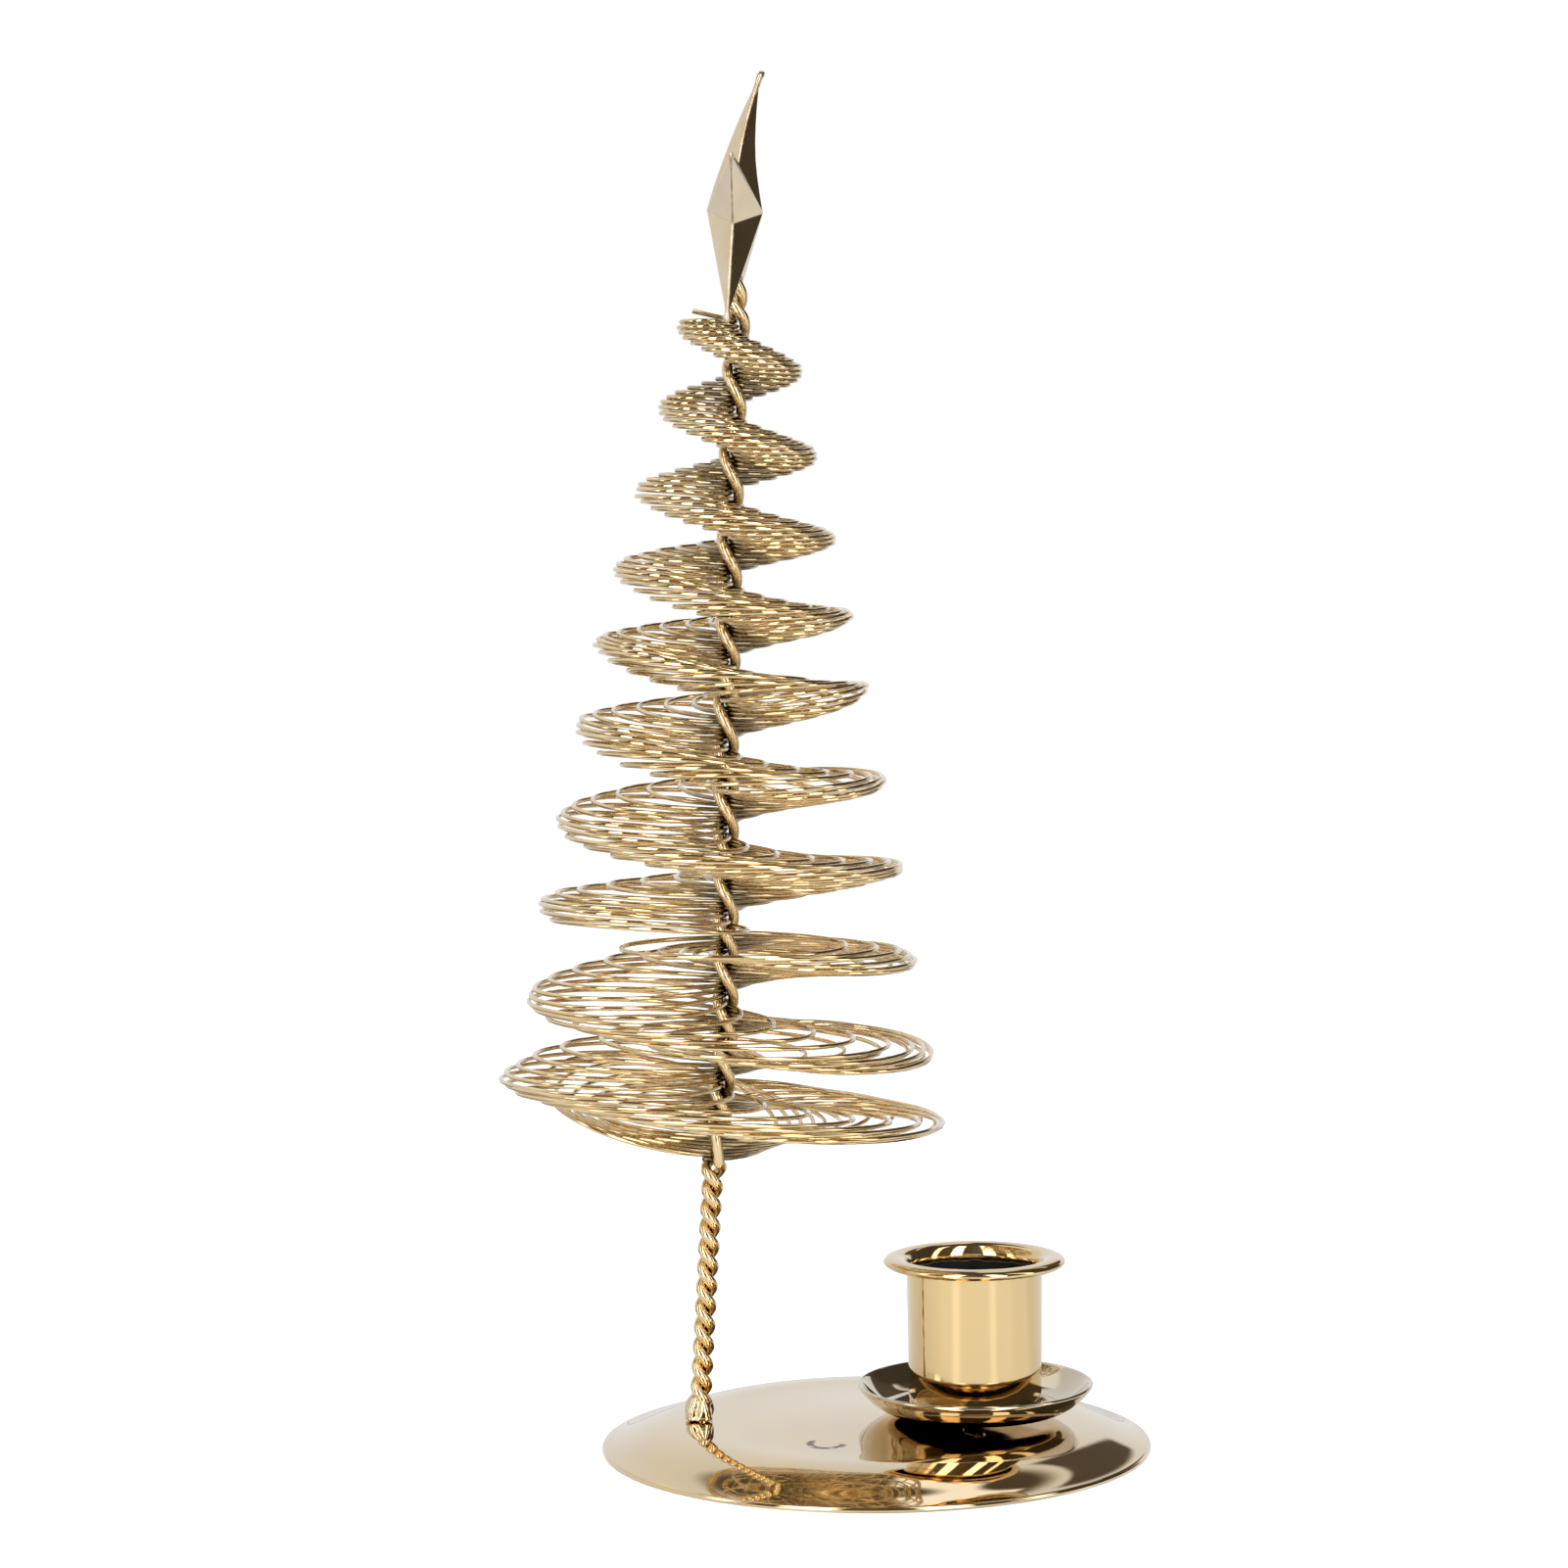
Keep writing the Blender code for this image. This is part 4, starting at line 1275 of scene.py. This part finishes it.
@dataclass(frozen=True)
class Star:
    """The faceted five-pointed star, pressed in two halves and soldered along its edge."""

    radius: float = 23.82
    notch: float = 0.382
    depth: float = 4.84
    lean: float = 3.8
    bend: float = 3.31
    near_bend: float = 1.1
    near_side: float = 162.0
    slimmer_candle_side: float = 0.13
    slimmer_tree_side: float = 0.06
    ridge_round: float = 0.22
    highest: float = 236.78
    centre: Triple = (-22.08, 0.0, 212.99)
    arm_steps: int = 8
    seam_steps: int = 26
    seam_seed: int = 11

    def placed(self, points: np.ndarray) -> np.ndarray:
        """Points of the upright star, leaned and moved to its place."""
        turn = np.array(Matrix.Rotation(math.radians(self.lean), 3, "Y"))
        return points @ turn.T + np.array(self.centre)

    def corners(self) -> np.ndarray:
        """The ten corners of its edge.

        Returns:
            The corners of the upright star, starting at its top point.
        """
        reach = self.radius * np.where(np.arange(10) % 2, self.notch, 1.0)
        angle = np.radians(90.0 + 36.0 * np.arange(10))
        return np.stack([0.0 * reach, reach * np.cos(angle), reach * np.sin(angle)], axis=1)

    def bent(self, points: np.ndarray) -> np.ndarray:
        """Bends the top arm towards the candle and the nearest one away from it.

        Args:
            points: Points of the upright star.

        Returns:
            The points, moved.
        """
        x, y, z = points.T
        near = math.radians(self.near_side)
        along = y * math.cos(near) + z * math.sin(near)
        x = x + self.bend * (np.maximum(z, 0.0) / self.radius) ** 2
        x = x - self.near_bend * (np.maximum(along, 0.0) / self.radius) ** 2
        return np.stack([x, y, z], axis=1)

    def half(self, side: int) -> tuple[np.ndarray, Faces]:
        """One pressed half with a flat back. The top arm has steps along it, so that it can bend.

        Args:
            side: 1 for the candle's side, -1 for the tree's.

        Returns:
            The points and the faces.
        """
        corners = self.corners()
        points = [*corners, np.array([side * self.depth, 0.0, 0.0]), np.zeros(3)]
        peak, back = 10, 11
        faces = [face for i in range(1, 9) for face in ((i, i + 1, peak), (i + 1, i, back))]
        tip, near, far = corners[0], corners[1], corners[9]
        slimmer = self.slimmer_candle_side if side > 0 else self.slimmer_tree_side
        last = (1, peak, 9)
        for share in np.arange(1, self.arm_steps) / self.arm_steps:
            ridge = points[peak] + (tip - points[peak]) * share
            ridge[0] *= 1.0 - slimmer * float(smoothstep(0.0, 0.5, share))
            new = (len(points), len(points) + 1, len(points) + 2)
            points += [near + (tip - near) * share, ridge, far + (tip - far) * share]
            faces += [(new[i], last[i], last[(i + 1) % 3], new[(i + 1) % 3]) for i in range(3)]
            last = new
        faces += [(0, last[i], last[(i + 1) % 3]) for i in range(3)] + [(1, 9, back)]
        return self.placed(self.bent(np.array(points))), faces

    def seam_path(self) -> tuple[np.ndarray, np.ndarray]:
        """The star's edge, with the solder thicker at its points.

        Returns:
            A closed run of points, and the radius of the solder at each.
        """
        corners = self.corners()
        share = np.arange(self.seam_steps) / self.seam_steps
        draws = np.random.default_rng(self.seam_seed)
        bare = (0.2, 0.13, 0.15, 0.27, 0.24, 0.2, 0.2, 0.2, 0.2, 0.2)  # along each edge from the top
        points, radii = [], []
        for i, thin in enumerate(bare):
            near_point = share if i % 2 else 1.0 - share
            knob = 0.42 * near_point**4 if i in (0, 9) else 0.3 * near_point**12
            points.append(corners[i] + (corners[(i + 1) % 10] - corners[i]) * share[:, None])
            radii.append(thin + knob + 0.09 * draws.random(self.seam_steps))
        path, radii = self.placed(self.bent(np.concatenate(points))), np.concatenate(radii)
        path[:, 2] = np.minimum(path[:, 2], self.highest - radii)
        return path, radii

    def soften(self, mesh: bpy.types.Mesh) -> None:
        """Rounds the ridges and keeps the facets flat.

        Args:
            mesh: One half of the star.
        """
        build = bmesh.new()
        build.from_mesh(mesh)
        ridges = [edge for edge in build.edges if edge.calc_face_angle(0.0) > math.radians(12.0)]
        width = self.ridge_round * MM
        bmesh.ops.bevel(build, geom=ridges, offset=width, segments=2, profile=0.6, affect="EDGES")
        normals = []
        for vertex in build.verts:
            faces = [face.normal * face.calc_area() for face in vertex.link_faces]
            normals.append(sum(faces, Vector((0.0, 0.0, 0.0))).normalized())
        for face in build.faces:
            face.smooth = True
        build.to_mesh(mesh)
        build.free()
        mesh.normals_split_custom_set_from_vertices(normals)

    def build(self, bench: Bench, solder: Surface) -> None:
        """Makes the two halves, the seam of solder and the bead under the star.

        Args:
            bench: Where the pieces are put together.
            solder: The solder's finish.
        """
        surface = STAR_FINISH.surface(bench.effects)
        for side, name in ((1, "candle_side"), (-1, "tree_side")):
            mesh = bench.mesh("star_face_" + name, *self.half(side))
            self.soften(mesh)
            bench.piece(mesh, surface, Slot.STAR, "star_half_" + name)
        seam = closed_tube(*self.seam_path(), 10)
        bench.piece(bench.mesh("star_seam", *seam), solder, Slot.SOLDER)
        x, y, z = self.placed(self.corners())[5]
        Bead("star_bead", "star_solder", (x, y, z - 0.6), 1.55, 3.8, 4, (0.3, 0.5)).build(bench, solder)


@dataclass(frozen=True)
class SkyPatch:
    """A soft-edged patch of what the metal mirrors, with its edges in degrees.

    Azimuth 0 is behind the holder, 90 to its right, and 180 behind the camera.
    """

    left: float
    right: float
    low: float
    high: float
    soft: float
    level: float

    def share(self, sheet: NodeSheet, azimuth: Reading, height: Reading) -> Reading:
        """How much of a direction lies in the patch.

        Args:
            sheet: The world's nodes.
            azimuth: Azimuth of the direction.
            height: Its height over the horizon.

        Returns:
            A share from 0 to 1.
        """
        across = sheet.fade(azimuth, self.left - self.soft, self.left + self.soft)
        across = across * sheet.fade(azimuth, self.right + self.soft, self.right - self.soft)
        up = sheet.fade(height, self.low - self.soft, self.low + self.soft)
        return across * (up * sheet.fade(height, self.high + self.soft, self.high - self.soft))


@dataclass(frozen=True)
class Studio:
    """Pale floor, soft light and the camera."""

    bench: Bench
    floor_reach: float = 12.0
    floor_level: float = -0.00005
    floor_colour: Triple = (0.88, 0.88, 0.88)
    floor_painted_dark: Triple = (0.05, 0.04, 0.03)
    # painted dark colour that mirrored rays see in the floor's gaps and behind the holder
    shade_tint: Triple = (1.0, 0.79, 0.6)
    walls: float = 0.82
    patches: tuple[SkyPatch, ...] = (
        SkyPatch(-181.0, 181.0, 40.0, 91.0, 3.0, 0.09),  # ceiling
        SkyPatch(15.5, 45.0, 16.0, 36.0, 1.0, 0.1),  # dark panel behind on the right
        SkyPatch(42.0, 125.0, -5.0, 60.0, 4.0, 0.065),  # dark side on the right
        SkyPatch(-240.0, -112.0, -91.0, 80.0, 5.0, 0.13),  # dark room in front, left half
        SkyPatch(118.0, 240.0, -91.0, 80.0, 5.0, 0.1),  # and right half
        SkyPatch(-240.0, -164.0, -8.0, 14.0, 3.0, 0.62),  # table's edge in front, left half
        SkyPatch(164.0, 240.0, -8.0, 14.0, 3.0, 0.6),  # and right half
        SkyPatch(4.0, 18.0, 43.0, 54.0, 1.0, 1.3),  # small lamp above
        SkyPatch(-75.0, -25.0, 36.0, 70.0, 3.0, 1.1),  # soft box above on the left
        SkyPatch(-160.0, -138.0, -4.0, 68.0, 1.5, 4.4),  # tall boxes in front
        SkyPatch(141.0, 161.0, -4.0, 68.0, 1.5, 4.4),
        SkyPatch(-115.0, -104.0, -2.0, 64.0, 2.0, 2.4),  # tall boxes at the sides
        SkyPatch(102.0, 113.0, -2.0, 64.0, 2.0, 2.4),
    )
    lit_place: Triple = (0.0, 0.0, 0.1)  # where the lamps point, in metres
    camera_place: Triple = (-14.75, -650.0, 153.4)
    camera_pitch: float = 3.365  # downwards
    camera_roll: float = 0.62
    sensor: float = 36.0
    focal_pixels: float = 3866.0  # focal length, at a frame that is as many pixels wide as below
    frame_pixels: float = 1601.0

    def floor(self) -> None:
        """A wide pale floor that keeps the holder's shadow. Only for mirrored rays, pools and spokes of light
        are painted on it as glow, and gaps and the floor behind are painted dark.
        """
        mesh = bpy.data.meshes.new("studio_floor")
        reach, level = self.floor_reach, self.floor_level
        corners = ((-1, -1), (1, -1), (1, 1), (-1, 1))
        mesh.from_pydata([(x * reach, y * reach, level) for x, y in corners], [], [(0, 1, 2, 3)])
        surface = Surface("pale_floor")
        glow, dark = self.floor_painted_light(surface)
        surface.dress(
            {
                "Roughness": 0.9,
                "Specular IOR Level": 0.0,
                "Base Color": surface.blend(dark, self.floor_colour, self.floor_painted_dark),
                "Emission Color": WHITE,
                "Emission Strength": glow,
            }
        )
        mesh.materials.append(surface.material)
        stand("studio_floor", mesh)

    def floor_painted_light(self, surface: Surface) -> tuple[Reading, Reading]:
        """How the floor glows, and how dark it is painted, with painted pools of light for mirrored rays.

        Args:
            surface: The floor's finish.

        Returns:
            The glow, which is even for the camera and has painted pools and spokes of light for mirrored
            rays, and the share of the painted dark colour, for mirrored rays only.
        """
        mirrored, seen = surface.rays()
        x, y, _ = surface.split("Object")
        front = y * -1.0
        from_cup = x - (self.bench.middle_x + CandleCup.x * MM)
        side = surface.math("ARCTAN2", from_cup, front) * DEGREES
        # painted pools of light on either side of the cup, which the cup mirrors as bright bands
        painted_pools = sum(
            surface.fade(abs(side - middle), width + 1.0, width - 9.0) * level
            for middle, width, level in ((-33.0, 10.0, 0.24), (27.0, 9.0, 0.22))
        )
        # painted spokes of light round the stem beyond the front, with the gaps between them painted dark
        from_stem = x - (self.bench.middle_x - 25.0 * MM)
        around = surface.math("ARCTAN2", from_stem, front) * DEGREES
        painted_spokes = sum(
            surface.fade(abs(around - middle), width + 1.5, width - 1.5)
            for middle, width in ((-31.0, 10.5), (30.5, 9.5), (-70.0, 5.0), (72.0, 5.0))
        )
        beyond = surface.fade(front, 0.29, 0.38)
        painted_lit = beyond * painted_spokes
        painted_gaps = (beyond - painted_lit) * 0.62
        # painted dark at the far sides and behind the holder, less near the cup, for mirrored rays
        far = surface.fade(abs(side), 48.0, 75.0) * 0.08
        clear = surface.fade(surface.distance(from_cup, front), 0.16, 0.21) * 0.52 + 0.2
        behind = surface.fade(front, 0.02, -0.03) * surface.fade(front, -0.4, -0.25) * clear
        dark = surface.math("MAXIMUM", surface.math("MAXIMUM", painted_gaps, behind), far)
        return mirrored * (painted_lit * 2.0 + painted_pools) + seen * 0.36, mirrored * dark

    def world(self) -> None:
        """White round the object, with soft boxes and a darker ceiling for the metal to mirror."""
        world = bpy.data.worlds.new("studio")
        bpy.context.scene.world = world
        world.use_nodes = True
        world.node_tree.nodes.clear()
        sheet = NodeSheet(world.node_tree)
        x, y, z = sheet.split("Generated")
        azimuth = sheet.math("ARCTAN2", x, y) * DEGREES
        height = sheet.math("ARCSINE", z) * DEGREES
        level: Amount = self.walls
        for patch in self.patches:
            share = patch.share(sheet, azimuth, height)
            level = share * patch.level + (1.0 - share) * level
        tint = sheet.blend(sheet.fade(level, 0.0, 0.6), self.shade_tint, WHITE)
        room, light, plain = (
            sheet.add("ShaderNodeBackground", {"Color": colour, "Strength": strength}).outputs[0]
            for colour, strength in ((tint, level), (WHITE, 0.75), (WHITE, 1.0))
        )
        mirrored, seen = sheet.rays()
        for share, shader in ((mirrored, room), (seen, plain)):
            light = sheet.add("ShaderNodeMixShader", {0: share, 1: light, 2: shader}).outputs[0]
        sheet.add("ShaderNodeOutputWorld", {0: light})

    def lamp(self, name: str, place: Triple, size: float, watts: float) -> None:
        """A square soft lamp that points at the holder.

        Args:
            name: Name of the lamp.
            place: Its place, in metres.
            size: Length of its side, in metres.
            watts: Its power.
        """
        light = bpy.data.lights.new(name, "AREA")
        light.shape = "SQUARE"
        light.size = size
        light.energy = watts
        obj = stand(name, light)
        obj.location = place
        obj.rotation_euler = (Vector(self.lit_place) - Vector(place)).to_track_quat("-Z", "Y").to_euler()
        obj.visible_glossy = False

    def camera(self) -> None:
        """Camera at the photograph's angle."""
        data = bpy.data.cameras.new("camera")
        data.sensor_width = self.sensor
        data.lens = self.sensor * self.focal_pixels / self.frame_pixels
        data.clip_start, data.clip_end = 0.01, 100.0
        place = Matrix.Translation(self.bench.metres([self.camera_place])[0])
        tilt = Matrix.Rotation(math.radians(90.0 - self.camera_pitch), 4, "X")
        roll = Matrix.Rotation(math.radians(-self.camera_roll), 4, "Z")
        obj = stand("camera", data)
        obj.matrix_world = place @ tilt @ roll
        bpy.context.scene.camera = obj

    def build(self) -> None:
        """Sets up the floor, the light and the camera."""
        self.floor()
        self.world()
        self.lamp("key_lamp", (-0.7, -0.5, 1.3), 0.8, 9.0)
        self.lamp("fill_lamp", (0.9, -0.3, 1.1), 0.9, 5.0)
        self.camera()
        bpy.context.scene.view_settings.view_transform = "Standard"


def main() -> None:
    """Builds the studio and then the pieces, from the dish up."""
    logging.basicConfig(level=logging.INFO, format="%(name)s: %(message)s")
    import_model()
    bench = Bench.from_dish()
    Studio(bench).build()
    dish = Dish()
    dish.build(bench)
    CandleCup().build(bench, dish)
    foot = float(dish.top(30.6))
    Tree().build(bench, foot + 0.1)
    solder = SOLDER_FINISH.surface(bench.effects)
    place = (-30.65, 0.0, foot + 2.4)
    Bead("foot_bead", "foot_solder", place, 2.45, 5.0, 21, (0.05, 0.0), 0.16, 0.3).build(bench, solder)
    Star().build(bench, solder)
    bpy.context.view_layer.update()
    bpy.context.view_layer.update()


if __name__ == "__main__":
    main()
